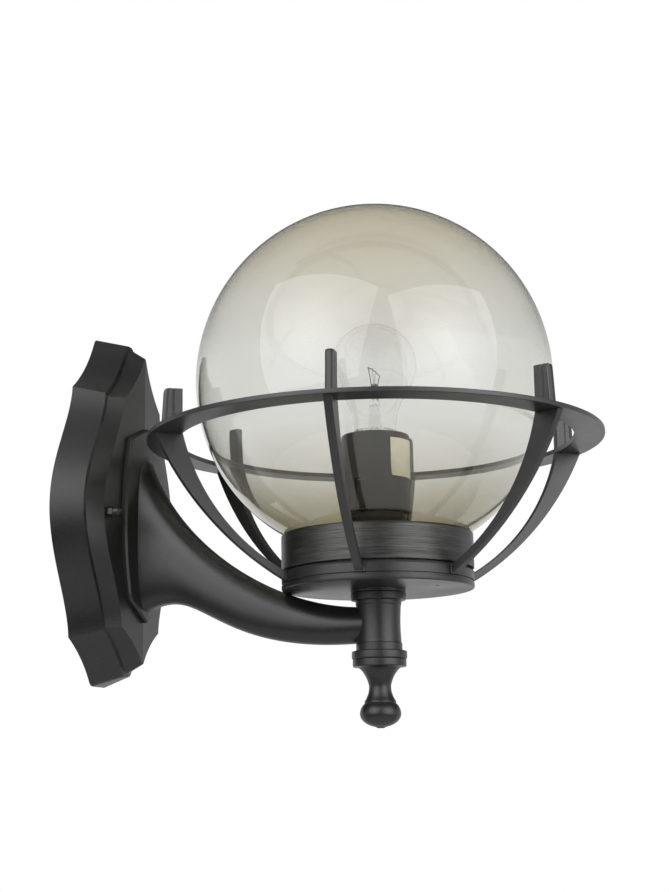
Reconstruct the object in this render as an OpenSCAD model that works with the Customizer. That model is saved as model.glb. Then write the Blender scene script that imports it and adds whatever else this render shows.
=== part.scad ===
// Outdoor wall light: cast wall plate and trumpet arm, open cage of six ribs, smoky globe.
// Millimetres. The wall is the plane Y = 0, the light stands out towards -Y, +Z is up.
// The origin is on the wall, at the height where the wall plate is widest.

/* [Wall plate] */
// Half width of the plate at its widest
plate_half_w = 78.4; // [74:0.2:84]
// Height of the upper tip above the origin
plate_up = 133.4; // [128:0.2:142]
// Depth of the lower tip below the origin
plate_down = 121.7; // [116:0.2:130]
// Half width at the shoulders
shoulder_half_w = 47.3; // [44:0.1:52]
// Height of the shoulders above and below the origin
shoulder_h = 89.7; // [86:0.1:94]
// Half width of the flat tips
tip_half_w = 12.7; // [11.5:0.1:15]
// Depth of the first tier from the wall
tier_one_d = 22.3; // [20:0.1:25]
// Depth of the front facets at the middle ridge
ridge_d = 35; // [33:0.1:40]
// Fall of the facets for each millimetre away from the ridge
facet_fall = 0.065; // [0.04:0.005:0.09]
// Wall thickness of the casting
plate_wall = 3; // [2.4:0.1:3.6]

/* [Wall fixing] */
// Distance between the two cap nut studs
stud_pitch = 102; // [98:0.5:104]
// Height of the studs above the origin
stud_z = -4; // [-6:0.5:2]
// Diameter of the studs
stud_d = 4; // [3.5:0.5:5]
// Thickness of the mounting bar
bar_t = 2.5; // [2:0.1:3]
// Height of the mounting bar
bar_h = 25; // [22:0.5:28]
// Distance between the two wall screw slots
slot_pitch = 56; // [50:0.5:62]
// Width of a wall screw slot
slot_w = 5.5; // [4.5:0.1:6]
// End to end length of a wall screw slot
slot_len = 14; // [10:0.5:16]

/* [Arm] */
// Distance from the wall to the globe's axis
reach = 211.6; // [206:0.2:224]
// Height of the arm where it meets the column
arm_tip_h = 24.7; // [22:0.1:27]
// Half width of the arm at the foot
arm_foot_half_w = 17; // [15:0.5:19]
// Half width of the foot at its corners
foot_half_w = 25; // [23:0.5:28]
// How far each side of the foot bows out between its corners
foot_bow = 8; // [4:0.5:10]
// Thickness of the foot
foot_t = 4; // [3:0.1:5]
// Radius of the wire channel
channel_r = 4.6; // [4:0.1:5]
// Diameter of the screws that hold the arm to the plate
arm_screw_d = 5; // [4:0.5:5]

/* [Column and finial] */
// Radius of the column
column_r = 15.3; // [14:0.1:16]
// Height of the column with its flanges
column_h = 45.2; // [43:0.1:48]
// Radius of the flanges at both ends of the column
flange_r = 18.9; // [17.5:0.1:20.5]
// Radius of the threaded tube
tube_r = 5; // [4.5:0.1:5.3]
// Bore radius of the threaded tube
tube_bore_r = 3.5; // [3:0.1:3.8]
// Length of the finial
finial_h = 46.3; // [44:0.1:50]
// Radius of the finial's ball
finial_ball_r = 14; // [13:0.1:15]

/* [Disc and cage] */
// Radius of the disc, the hub and the collar
drum_r = 66.2; // [65.6:0.1:68]
// Height of the disc's rim
disc_h = 3.5; // [3:0.1:4.5]
// Height of the groove between disc and hub
groove_h = 1.5; // [1:0.1:2]
// Height of the hub band
hub_h = 6.2; // [5.5:0.1:7]
// Height of the dark slot between hub and collar
slot_h = 2.3; // [1.8:0.1:3]
// Outer radius of the cage ring
ring_r = 158.7; // [155:0.1:164]
// Width of the cage ring, from its inner to its outer edge
ring_w = 21; // [19:0.1:23]
// Thickness of the cage ring
ring_t = 3.2; // [2.8:0.1:4]
// Drop from the globe's centre to the top of the ring
ring_drop = 40.3; // [37:0.1:44]
// Thickness of the ribs and prongs
rib_t = 5.5; // [4.5:0.1:6.5]
// Height of the prongs above the ring
prong_h = 27.5; // [22:0.5:32]
// Turn of the cage about the globe's axis, as it was put together
cage_turn = 6.4; // [-20:0.1:20]

/* [Globe and collar] */
// Radius of the globe
globe_r = 125; // [124:0.1:126]
// Wall thickness of the globe
globe_wall = 2.5; // [2:0.1:3]
// Height of the globe's centre above the origin
globe_z = 83.6; // [80:0.1:90]
// Drop from the globe's centre to the top of the collar
collar_drop = 107.9; // [107.5:0.1:109]
// Height of the collar
collar_h = 24.8; // [23.5:0.1:27]
// Wall thickness of the collar
collar_wall = 2.6; // [2.3:0.1:2.7]
// How far the globe's neck lies inside the collar's outside
neck_inset = 5.9; // [5.6:0.1:6.4]
// Width of a lug on the neck, in degrees
lug_angle = 24; // [18:1:28]
// Width of a tab in the collar, in degrees
tab_angle = 36; // [30:1:40]

/* [Lampholder and bulb] */
// Radius of the lampholder's sleeve
sleeve_r = 23.75; // [23:0.05:25]
// Height of the sleeve
sleeve_h = 55.2; // [53:0.1:58]
// Radius of the lampholder's body
body_r = 20.75; // [20:0.05:21.5]
// Height of the lampholder's body below the sleeve
body_h = 28.2; // [26:0.1:31]
// Radius of the bulb's glass
bulb_r = 30; // [28:0.1:30.5]
// Length of the bulb from its contact to its top
bulb_len = 105; // [100:0.5:107]
// Outer radius of the bulb's cap
cap_r = 13.15; // [13:0.01:13.2]
// Running clearance between the bulb's cap and the thread shell
cap_clear = 0.08; // [0.05:0.01:0.1]

/* [Clearances] */
// Gap between a moving piece and what it passes
run_gap = 0.4; // [0.3:0.05:0.5]
// Radial clearance of a screw in its hole
screw_clear = 0.3; // [0.2:0.05:0.4]

/* [Hidden] */

$fn = 96;
eps = 0.01;
rib_count = 6;
lock_turn = 45;
black = [0.13, 0.13, 0.13];
brass = [0.78, 0.64, 0.33];
steel = [0.7, 0.71, 0.72];

// heights of the stack, from the globe's centre down
collar_top_z = globe_z - collar_drop;
collar_z = collar_top_z - collar_h;
hub_top_z = collar_z - slot_h;
hub_z = hub_top_z - hub_h;
disc_top_z = hub_z - groove_h;
disc_z = disc_top_z - disc_h;
disc_ring_h = 1.8;
column_top_z = disc_z - disc_ring_h;
column_z = column_top_z - column_h;
flange_h = 5.3;
column_neck_h = 3.6;
column_foot_h = 5.8;
body_top_z = column_top_z - flange_h - column_neck_h;
body_low_z = column_z + flange_h + column_foot_h;
arm_z = (body_top_z + body_low_z) / 2;
ring_top_z = globe_z - ring_drop;
ring_z = ring_top_z - ring_t;
ring_in_r = ring_r - ring_w;
groove_r = drum_r - 1.2;
bore_r = tube_r + screw_clear;
neck_r = drum_r - neck_inset;

// outline of one plate level: half width at the tip, upper tip, lower tip,
// half width at the shoulder, shoulder height, half width at the belly
tier_draft = 8;
step_in = 1.8;
tip_draft = 7;
level_back = [tip_half_w, plate_up, plate_down, shoulder_half_w, shoulder_h, plate_half_w];
level_one = [tip_half_w - tip_draft, plate_up - 5, plate_down - 6.5,
    shoulder_half_w - tier_draft, shoulder_h - 4.7, plate_half_w - tier_draft + 0.6];
level_step = [for (i = [0 : 5]) level_one[i] - step_in];
level_front = [1.2, level_step[1] - 8.6, level_step[2] - 6.8,
    level_step[3] - 7, level_step[4] - 1, level_step[5] - 12];
step_rise = 1.2;

// the side of the outline: a shallow cove to the shoulder, then an ogee over the belly
cove_steps = 6;
ogee_steps = 20;
function quad(a, b, c, t) = (1 - t) * (1 - t) * a + 2 * t * (1 - t) * b + t * t * c;
function cove(tip, shoulder) =
    let (mid = [tip[0] * 0.62 + shoulder[0] * 0.38 - 2, tip[1] * 0.38 + shoulder[1] * 0.62 + 1])
    [for (i = [0 : cove_steps - 1]) quad(tip, mid, shoulder, i / cove_steps)];
function ogee_w(level, h) = level[3] + (level[5] - level[3]) * pow(sin(90 * (1 - abs(h) / level[4])), 1.6);
function side(level) = concat(
    cove([level[0], level[1]], [level[3], level[4]]),
    [for (i = [0 : ogee_steps]) let (h = level[4] * (1 - 2 * i / ogee_steps)) [ogee_w(level, h), h]],
    [for (p = cove([level[0], level[2]], [level[3], level[4]])) [p[0], -p[1]]]
);
function in_order(level) = let (s = side(level), n = cove_steps + ogee_steps + 1)
    concat([for (i = [0 : n - 1]) s[i]], [for (i = [cove_steps - 1 : -1 : 0]) s[n + i]]);
function narrowed(level, t) = [max(level[0] - t, 0.6), level[1] - t, level[2] - t,
    level[3] - t * 1.1, level[4] - t * 0.6, level[5] - t];

// a ring of points round one level; fall is how far the depth drops for each millimetre of width
function level_ring(level, depth, fall) = let (s = in_order(level), n = len(s)) concat(
    [for (p = s) [p[0], -(depth - fall * p[0]), p[1]]],
    [for (i = [n - 1 : -1 : 0]) [-s[i][0], -(depth - fall * s[i][0]), s[i][1]]]
);

// closed skin over rings of equal length; both ends are closed by facets that meet at a middle ridge
module ridged_skin(ridge_a, rings, ridge_b) {
    m = len(rings[0]);
    h = m / 2;
    last = (len(rings) - 1) * m;
    ra = len(rings) * m;
    rb = ra + h;
    function cap(o, top) = concat(
        [[o, top, o + m - 1], [o + h - 1, o + h, top + h - 1]],
        [for (i = [0 : h - 2]) let (a = o + m - 1 - i) each [[o + i, top + i + 1, top + i],
            [o + i, o + i + 1, top + i + 1], [a, top + i + 1, a - 1], [a, top + i, top + i + 1]]]
    );
    polyhedron(points = concat([for (r = rings) each r], ridge_a, ridge_b), convexity = 6, faces = concat(
        [for (f = cap(0, ra)) [f[0], f[2], f[1]]],
        [for (k = [0 : len(rings) - 2]) for (i = [0 : m - 1]) let (j = (i + 1) % m)
            each [[k * m + i, (k + 1) * m + j, (k + 1) * m + i], [k * m + i, k * m + j, (k + 1) * m + j]]],
        cap(last, rb)
    ));
}

function ridge_of(level, depth) = [for (p = in_order(level)) [0, -depth, p[1]]];
// the levels from the wall outwards, t in from the outside
function plate_rings(t) = [
    level_ring(narrowed(level_back, t), 0, 0),
    level_ring(narrowed(level_one, t), tier_one_d - t, 0),
    level_ring(narrowed(level_step, t), tier_one_d + step_rise - t, 0),
    level_ring(narrowed(level_front, t), ridge_d - t, facet_fall)
];

// places that several pieces share
stud_x = stud_pitch / 2;
arm_screw_z = [29, -54];
boss_h = 8;
channel_z = -12;
facet_at_stud = ridge_d - facet_fall * stud_x;
foot_top_d = ridge_d + foot_t;
module at_depth(d, x = 0, z = 0) { translate([x, -d, z]) rotate([90, 0, 0]) children(); }
// a cylinder that points away from the wall, from depth d0 to depth d1
module out_rod(r, d0, d1, x = 0, z = 0) { at_depth(d0, x, z) cylinder(r = r, h = d1 - d0, $fn = 48); }
module on_axis() { translate([0, -reach, 0]) children(); }
module spin(pts) { rotate_extrude() polygon(pts); }

module wall_plate() color(black) {
    difference() {
        union() {
            inside = plate_rings(plate_wall);
            ridged_skin(ridge_of(narrowed(level_front, plate_wall), ridge_d - plate_wall),
                concat([for (i = [3 : -1 : 0]) inside[i]], plate_rings(0)), ridge_of(level_front, ridge_d));
            for (z = arm_screw_z) out_rod(8, ridge_d - boss_h, ridge_d - plate_wall / 2, 0, z);
        }
        for (x = [-stud_x, stud_x]) out_rod(stud_d / 2 + screw_clear, ridge_d - 14, ridge_d + 2, x, stud_z);
        for (z = arm_screw_z) out_rod(arm_screw_d / 2 + screw_clear, ridge_d - 14, ridge_d + 2, 0, z);
        out_rod(channel_r + 1, ridge_d - 14, ridge_d + 2, 0, channel_z);
    }
}

tongue_w = 30;
tongue_top = 40;
block_w = 34;
block_z = 17;
block_h = 20;
block_d = 15;
earth_x = stud_x - 8;
cable_hole_r = 8.5;
module mounting_bar() color(steel) {
    bar_w = stud_pitch + 16;
    difference() {
        union() {
            translate([-bar_w / 2, -bar_t, -bar_h / 2]) cube([bar_w, bar_t, bar_h]);
            translate([-tongue_w / 2, -bar_t, 0]) cube([tongue_w, bar_t, tongue_top]);
        }
        for (x = [-slot_pitch / 2, slot_pitch / 2]) {
            span = slot_len - slot_w;
            for (s = [-1, 1]) out_rod(slot_w / 2, -1, bar_t + 1, x + s * span / 2, 0);
            translate([x - span / 2, -bar_t - 1, -slot_w / 2]) cube([span, bar_t + 2, slot_w]);
        }
        out_rod(cable_hole_r, -1, bar_t + 1, 0, -1);
        for (x = [-stud_x, stud_x]) out_rod(stud_d / 2, -1, bar_t + 1, x, stud_z);
        out_rod(1.6, -1, bar_t + 1, earth_x - 2.5, -8);
    }
}

nut_h = 4;
nut_af = stud_d + 3;
dome_wall = 0.9;
dome_r = stud_d / 2 + dome_wall;
dome_side = 2.6;
stud_out = facet_at_stud + nut_h + dome_side;
module studs() color(steel) {
    for (x = [-stud_x, stud_x]) out_rod(stud_d / 2, 0, stud_out, x, stud_z);
}

module hex_ring(af, h, hole_r) {
    difference() {
        cylinder(r = af / 2 / cos(30), h = h, $fn = 6);
        translate([0, 0, -1]) cylinder(r = hole_r, h = h + 2, $fn = 48);
    }
}
module cap_nuts() color(black) {
    seat_d = facet_at_stud + facet_fall * nut_af / 2 + 0.1;
    for (x = [-stud_x, stud_x]) {
        at_depth(seat_d, x, stud_z) hex_ring(nut_af, nut_h, stud_d / 2);
        at_depth(seat_d + nut_h, x, stud_z) difference() {
            union() {
                cylinder(r = dome_r, h = dome_side, $fn = 48);
                translate([0, 0, dome_side]) rotate_extrude($fn = 48) intersection() {
                    circle(r = dome_r, $fn = 48);
                    square([dome_r, dome_r]);
                }
            }
            translate([0, 0, -1]) cylinder(r = stud_d / 2, h = stud_out - seat_d - nut_h + 1.2, $fn = 48);
        }
    }
}

module pan_screw(head_r, head_h, r, length) {
    difference() {
        union() {
            rotate_extrude($fn = 48) polygon([[0, 0], [head_r, 0], [head_r, head_h * 0.5],
                [head_r * 0.75, head_h], [0, head_h]]);
            translate([0, 0, -length]) cylinder(r = r, h = length + eps, $fn = 32);
        }
        translate([-head_r, -0.4, head_h - 0.9]) cube([2 * head_r, 0.8, 2]);
    }
}
module earth_screw() color(brass) {
    at_depth(bar_t, earth_x - 2.5, -8) {
        difference() {
            cylinder(r = 4, h = 0.8, $fn = 48);
            translate([0, 0, -1]) cylinder(r = 1.6, h = 3, $fn = 32);
        }
        translate([0, 0, 0.8]) pan_screw(3.2, 2.2, 1.6, bar_t + 0.8);
    }
}

pole_pitch = 10;
wire_hole_d = bar_t + block_d * 0.58;
screw_rows = [0.28, 0.72];
module terminal_block() color("white") {
    difference() {
        union() {
            translate([-block_w / 2, -bar_t - block_d * 0.62, block_z])
                cube([block_w, block_d * 0.62, block_h]);
            for (i = [-1 : 1]) translate([i * pole_pitch - 4.2, -bar_t - block_d, block_z + 1.5])
                cube([8.4, block_d, block_h - 3]);
        }
        for (i = [-1 : 1]) {
            translate([i * pole_pitch, -wire_hole_d, block_z - 1])
                cylinder(r = 1.9, h = block_h + 2, $fn = 32);
            for (f = screw_rows)
                out_rod(2.1, wire_hole_d, bar_t + block_d + 1, i * pole_pitch, block_z + block_h * f);
        }
    }
}
module terminal_screws() color(brass) {
    for (i = [-1 : 1], f = screw_rows) at_depth(wire_hole_d + 1.95, i * pole_pitch, block_z + block_h * f)
        difference() {
            cylinder(r = 2.1, h = 2.9, $fn = 32);
            translate([-2.2, -0.3, 2.2]) cube([4.4, 0.6, 1]);
        }
}

// the arm's edges, in depth from the wall and height: two cubic curves, top and bottom
arm_end_d = reach - 8.6;
upper_pull = 19.5;
lower_pull = 49;
middle_pull = 35;
upper_draw = 74;
lower_draw = 126.5;
middle_draw = 101.6;
arm_sag = 6.1;
upper = [[ridge_d + 1, 50.5], [ridge_d + upper_pull, -20.7], [reach - upper_draw, arm_z + arm_tip_h / 2],
    [arm_end_d, arm_z + arm_tip_h / 2]];
lower = [[ridge_d + 1, -70.7], [ridge_d + lower_pull, -47],
    [reach - lower_draw, arm_z - arm_tip_h / 2 - arm_sag], [arm_end_d, arm_z - arm_tip_h / 2]];
function cubic(p, t) = let (u = 1 - t)
    u * u * u * p[0] + 3 * u * u * t * p[1] + 3 * u * t * t * p[2] + t * t * t * p[3];
arm_steps = 24;
arm_sides = 32;
// squarer at the foot, round at the column
function squared(v, e) = sign(v) * pow(abs(v), 2 / e);
function oval(top, low, w, e) = let (c = (top + low) / 2, v = (top - low) / 2)
    [for (i = [0 : arm_sides - 1])
        let (q = 360 * i / arm_sides, a = squared(sin(q), e), b = squared(cos(q), e))
        [w * a, -(c[0] + v[0] * b), c[1] + v[1] * b]];
foot_square = 3;
function arm_square(t) = foot_square + (2 - foot_square) * t;
function arm_w(t) = arm_foot_half_w + (arm_tip_h / 2 - arm_foot_half_w) * pow(t, 0.5);
module ring_sweep(rings) {
    m = len(rings[0]);
    n = len(rings);
    polyhedron(points = [for (r = rings) each r], convexity = 4, faces = concat(
        [[for (i = [m - 1 : -1 : 0]) i]],
        [for (k = [0 : n - 2]) for (i = [0 : m - 1]) let (j = (i + 1) % m)
            each [[k * m + i, (k + 1) * m + j, (k + 1) * m + i], [k * m + i, k * m + j, (k + 1) * m + j]]],
        [[for (i = [0 : m - 1]) (n - 1) * m + i]]
    ));
}

// a round lead through points that never run along X
function lead_ring(p, dir, r, m) =
    let (u = cross(dir, [1, 0, 0]), a = u / norm(u), v = cross(dir, a), b = v / norm(v))
    [for (i = [0 : m - 1]) let (q = 360 * i / m) p + r * (a * cos(q) - b * sin(q))];
module lead(p, r, m) {
    n = len(p) - 1;
    ring_sweep([for (i = [0 : n]) lead_ring(p[i], p[min(i + 1, n)] - p[max(i - 1, 0)], r, m)]);
}

// the middle line of the wire channel, from inside the wall plate to the tube
middle = [[ridge_d - 9, channel_z], [ridge_d + middle_pull, channel_z], [reach - middle_draw, arm_z],
    [reach - tube_r, arm_z]];
channel_steps = 20;
function middle_point(x, i) = let (p = cubic(middle, i / channel_steps)) [x, -p[0], p[1]];

foot_up = 64.4;
foot_down = 77.2;
foot_side_up = 54;
foot_side_down = 63;
foot_tip = 0.5;
bow_steps = 10;
function foot_side(t) = concat(
    [[foot_tip, foot_up - t * 1.2]],
    [for (i = [0 : bow_steps]) let (f = i / bow_steps)
        [foot_half_w - t + foot_bow * 4 * f * (1 - f),
            (foot_side_up - t / 2) * (1 - f) - (foot_side_down - t / 2) * f]],
    [[foot_tip, -foot_down + t * 1.2]]);
function foot_ring(depth, t) = let (s = foot_side(t)) concat(
    [for (p = s) [p[0], -(depth - facet_fall * p[0]), p[1]]],
    [for (i = [len(s) - 1 : -1 : 0]) [-s[i][0], -(depth - facet_fall * s[i][0]), s[i][1]]]);
function foot_ridge(depth, t) = [for (p = foot_side(t)) [0, -depth, p[1]]];
module foot() {
    ridged_skin(foot_ridge(ridge_d, 0),
        [foot_ring(ridge_d, 0), foot_ring(foot_top_d - 1.3, 0), foot_ring(foot_top_d, 1.4)],
        foot_ridge(foot_top_d, 1.4));
}

waist = 0.5;
module column_profile() {
    neck_out = column_r + 0.4;
    foot_out = column_r + 0.5;
    cut = 0.8;
    polygon(concat(
        [[bore_r, column_z], [flange_r - cut, column_z], [flange_r, column_z + cut],
            [flange_r, column_z + flange_h - cut], [flange_r - cut, column_z + flange_h],
            [foot_out, column_z + flange_h + 0.4], [foot_out, body_low_z - 0.8], [column_r, body_low_z]],
        [for (i = [1 : 7]) let (t = i / 8)
            [column_r - waist * sin(180 * t), body_low_z + (body_top_z - body_low_z) * t]],
        [[column_r, body_top_z], [neck_out, body_top_z + 0.6], [neck_out, column_top_z - flange_h - 0.4],
            [flange_r - cut, column_top_z - flange_h], [flange_r, column_top_z - flange_h + cut],
            [flange_r, column_top_z - cut], [flange_r - cut, column_top_z], [bore_r, column_top_z]]
    ));
}
module arm() color(black) {
    end = [[reach, upper[3][1]], [reach, lower[3][1]]];
    difference() {
        union() {
            foot();
            ring_sweep(concat(
                [for (i = [0 : arm_steps]) let (t = i / arm_steps)
                    oval(cubic(upper, t), cubic(lower, t), arm_w(t), arm_square(t))],
                [oval(end[0], end[1], arm_tip_h / 2, 2)]
            ));
            on_axis() rotate_extrude() column_profile();
        }
        on_axis() translate([0, 0, column_z - 1]) cylinder(r = bore_r, h = column_h + 2);
        lead([for (i = [0 : channel_steps]) middle_point(0, i)], channel_r, 16);
        for (z = arm_screw_z) out_rod(arm_screw_d / 2, ridge_d - 2, ridge_d + 8, 0, z);
    }
}

screw_head_r = 4.6;
screw_head_h = 3.4;
screw_len = 16;
screw_washer_r = 6;
screw_washer_h = 1;
module arm_screws() color(steel) {
    head_d = ridge_d - boss_h - screw_washer_h;
    for (z = arm_screw_z) {
        at_depth(head_d, 0, z) difference() {
            cylinder(r = screw_washer_r, h = screw_washer_h, $fn = 48);
            translate([0, 0, -1]) cylinder(r = arm_screw_d / 2, h = 3, $fn = 48);
        }
        translate([0, -head_d, z]) rotate([-90, 0, 0])
            pan_screw(screw_head_r, screw_head_h, arm_screw_d / 2, screw_len);
    }
}

tube_top_z = collar_z + 24;
tube_low_z = column_z - 18;
window_h = 16;
module lamp_tube() color(steel) {
    on_axis() difference() {
        translate([0, 0, tube_low_z]) cylinder(r = tube_r, h = tube_top_z - tube_low_z);
        translate([0, 0, tube_low_z - 1]) cylinder(r = tube_bore_r, h = tube_top_z - tube_low_z + 2);
        translate([-2.6, 0, arm_z - window_h / 2]) cube([5.2, tube_r + 2, window_h]);
    }
}

finial_neck_r = 7.5;
// the finial's line: a ball, a crease, a flare up to the neck, and a cove up to the flange
module finial() color(black) {
    low = column_z - finial_h;
    ball_z = low + 9.6;
    flare_h = 9.6;
    flare_w = 3.1;
    crease_z = ball_z + 6.9;
    neck_low = crease_z + 1.6 + flare_h;
    cove_top = column_z - flange_h;
    out = flange_r - 0.6;
    cut = 0.8;
    on_axis() rotate_extrude() polygon(concat(
        [[0, low], [2.4, low], [2.9, low + 0.5]],
        [for (a = [-72 : 12 : 0]) [finial_ball_r * cos(a), ball_z + 9.1 * sin(a)]],
        [for (a = [12 : 13 : 38]) [finial_ball_r * cos(a), ball_z + 10.9 * sin(a)]],
        [[finial_neck_r + flare_w, crease_z], [finial_neck_r + flare_w + 0.3, crease_z + 0.7]],
        [for (i = [0 : 7]) let (f = 1 - i / 7) [finial_neck_r + flare_w * f * f, neck_low - flare_h * f]],
        [for (i = [1 : 8]) let (a = 90 * i / 8) [finial_neck_r + 8 * (1 - pow(cos(a), 4 / 3)),
            neck_low + (cove_top - neck_low) * pow(sin(a), 4 / 3)]],
        [[out - cut, cove_top], [out, cove_top + cut], [out, column_z - cut], [out - cut, column_z],
            [tube_r, column_z], [tube_r, tube_low_z], [0, tube_low_z - 2]]
    ));
}

drain_turn = 256.5;
drain_x = 46.4;
drain_r = 1.5;
module drain() {
    rotate(drain_turn) translate([drain_x, 0, disc_z - 1])
        cylinder(r = drain_r, h = washer_z - disc_z + 2, $fn = 32);
}
module base_disc() color(black) {
    on_axis() difference() {
        rotate_extrude($fn = 144) polygon([[bore_r, disc_z - disc_ring_h],
            [flange_r - 0.6, disc_z - disc_ring_h], [flange_r, disc_z - disc_ring_h + 0.5],
            [flange_r, disc_z], [drum_r - 1.6, disc_z],
            [drum_r - 0.5, disc_z + 0.4], [drum_r, disc_z + 1.4], [drum_r, disc_top_z - 0.4],
            [drum_r - 0.4, disc_top_z], [groove_r, disc_top_z], [groove_r, hub_z], [bore_r, hub_z]]);
        drain();
    }
}

module cage_hub() color(black) {
    on_axis() difference() {
        rotate_extrude($fn = 144) polygon([[bore_r, hub_z], [drum_r - 0.4, hub_z], [drum_r, hub_z + 0.4],
            [drum_r, hub_top_z - 0.4], [drum_r - 0.4, hub_top_z], [bore_r, hub_top_z]]);
        drain();
    }
}

// a rib lies between two arcs, given by their ends and radii, in radius and height
function arc_centre(a, b, r) =
    let (d = b - a, m = (a + b) / 2, k = sqrt(r * r - d * d / 4), u = [d[1], -d[0]] / norm(d))
    m - k * u;
rib_outer_r = 212;
rib_inner_r = 139;
rib_foot_in = drum_r - 2;
module rib_profile() {
    outer_top = [ring_r - 2.4, ring_z];
    outer_low = [drum_r, hub_z];
    inner_top = [ring_in_r, ring_z];
    inner_low = [drum_r, hub_top_z];
    difference() {
        intersection() {
            translate(arc_centre(outer_low, outer_top, rib_outer_r)) circle(r = rib_outer_r, $fn = 360);
            translate([rib_foot_in, hub_z]) square([ring_r, ring_z - hub_z]);
        }
        translate(arc_centre(inner_low, inner_top, rib_inner_r)) circle(r = rib_inner_r, $fn = 360);
    }
}
module cage_rib(i) color(black) {
    on_axis() rotate(cage_turn + 360 / rib_count * (i - 1)) difference() {
        union() {
            rotate([90, 0, 0]) translate([0, 0, -rib_t / 2]) linear_extrude(rib_t) rib_profile();
            translate([rib_foot_in, -rib_t / 2 - 1.5, hub_z])
                cube([drum_r + 1.4 - rib_foot_in, rib_t + 3, hub_h]);
        }
        translate([0, 0, hub_z - 1]) cylinder(r = drum_r, h = hub_h + 2, $fn = 144);
    }
}

module cage_ring() color(black) {
    prong_base = 14.3;
    prong_in = ring_in_r + 0.2;
    prong_out = ring_in_r + 12.5;
    on_axis() {
        rotate_extrude($fn = 180) polygon([[ring_in_r, ring_z], [ring_r - 0.6, ring_z],
            [ring_r, ring_z + 0.6], [ring_r, ring_top_z - 0.6], [ring_r - 0.6, ring_top_z],
            [ring_in_r, ring_top_z]]);
        for (i = [0 : rib_count - 1]) rotate(cage_turn + 360 / rib_count * i)
            rotate([90, 0, 0]) translate([0, 0, -rib_t / 2]) linear_extrude(rib_t)
                polygon([[prong_in, ring_z + ring_t / 2], [ring_in_r + prong_base, ring_z + ring_t / 2],
                    [ring_in_r + prong_base, ring_top_z], [prong_out, ring_top_z + prong_h - 1],
                    [prong_out - 1, ring_top_z + prong_h], [prong_in, ring_top_z + prong_h]]);
    }
}

ledge_h = 1.5;
ledge_in_r = neck_r - 0.5;
collar_in_r = drum_r - collar_wall;
seat_step_h = 2;
seat_low_z = collar_z - run_gap;
seat_z = collar_z + ledge_h + run_gap;
washer_z = seat_z + seat_step_h;
module hub_gasket() color([0.05, 0.05, 0.05]) {
    on_axis() difference() {
        spin([[bore_r, hub_top_z], [collar_in_r - 0.6, hub_top_z], [collar_in_r - 0.6, seat_low_z],
            [bore_r, seat_low_z]]);
        drain();
    }
}
module globe_seat() color(steel) {
    step_r = ledge_in_r - run_gap;
    on_axis() difference() {
        spin([[bore_r, seat_low_z], [step_r, seat_low_z], [step_r, seat_z], [collar_in_r - 1, seat_z],
            [collar_in_r - 1, washer_z], [bore_r, washer_z]]);
        drain();
    }
}
seal_h = 1.4;
neck_z = washer_z + seal_h + run_gap;
module neck_seal() color([0.05, 0.05, 0.05]) {
    top = neck_z - run_gap;
    on_axis() spin([[neck_r - 5, washer_z], [neck_r + 0.2, washer_z], [neck_r + 0.2, top - 0.3],
        [neck_r - 0.2, top], [neck_r - 4.6, top], [neck_r - 5, top - 0.3]]);
}

lug_up = 0.5;
lug_h = 2.5;
lug_out = collar_in_r - neck_r - run_gap;
lug_top_z = neck_z + lug_up + lug_h;
tab_h = 3;
module sector(r0, r1, h, angle) {
    rotate(-angle / 2) rotate_extrude(angle = angle, $fn = 144) translate([r0, 0]) square([r1 - r0, h]);
}
module collar() color([0.25, 0.25, 0.26]) {
    on_axis() {
        rotate_extrude($fn = 144) polygon([[ledge_in_r, collar_z], [drum_r - 0.6, collar_z],
            [drum_r, collar_z + 0.6], [drum_r, collar_top_z - 1.6], [drum_r - 0.5, collar_top_z - 0.5],
            [drum_r - 1.5, collar_top_z], [collar_in_r + 0.3, collar_top_z],
            [collar_in_r, collar_top_z - 0.4], [collar_in_r, collar_z + ledge_h],
            [ledge_in_r, collar_z + ledge_h]]);
        for (a = [0 : 120 : 240]) rotate(a - lock_turn) translate([0, 0, lug_top_z + run_gap])
            sector(neck_r + run_gap, collar_in_r + collar_wall / 2, tab_h, tab_angle);
    }
}

module globe() color([0.75, 0.72, 0.64, 0.5]) {
    neck_in = neck_r - globe_wall;
    shoulder_z = globe_z - sqrt(globe_r * globe_r - neck_r * neck_r);
    on_axis() {
        difference() {
            union() {
                translate([0, 0, globe_z]) sphere(r = globe_r, $fn = 144);
                translate([0, 0, neck_z]) cylinder(r = neck_r, h = shoulder_z + 1 - neck_z, $fn = 144);
            }
            translate([0, 0, globe_z]) sphere(r = globe_r - globe_wall, $fn = 144);
            translate([0, 0, neck_z - 1]) cylinder(r = neck_in, h = shoulder_z + 4 - neck_z, $fn = 144);
        }
        for (a = [0 : 120 : 240]) rotate(a) translate([0, 0, neck_z + lug_up])
            sector(neck_r - globe_wall / 2, neck_r + lug_out, lug_h, lug_angle);
    }
}

washer_h = 1.2;
tube_nut_h = 6;
holder_z = washer_z + washer_h + tube_nut_h;
module tube_washer() color(steel) {
    top = washer_z + washer_h;
    on_axis() spin([[bore_r, washer_z], [11, washer_z], [11, top], [bore_r, top]]);
}
module tube_nut() color(steel) {
    on_axis() translate([0, 0, washer_z + washer_h]) hex_ring(17, tube_nut_h, tube_r);
}

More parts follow.
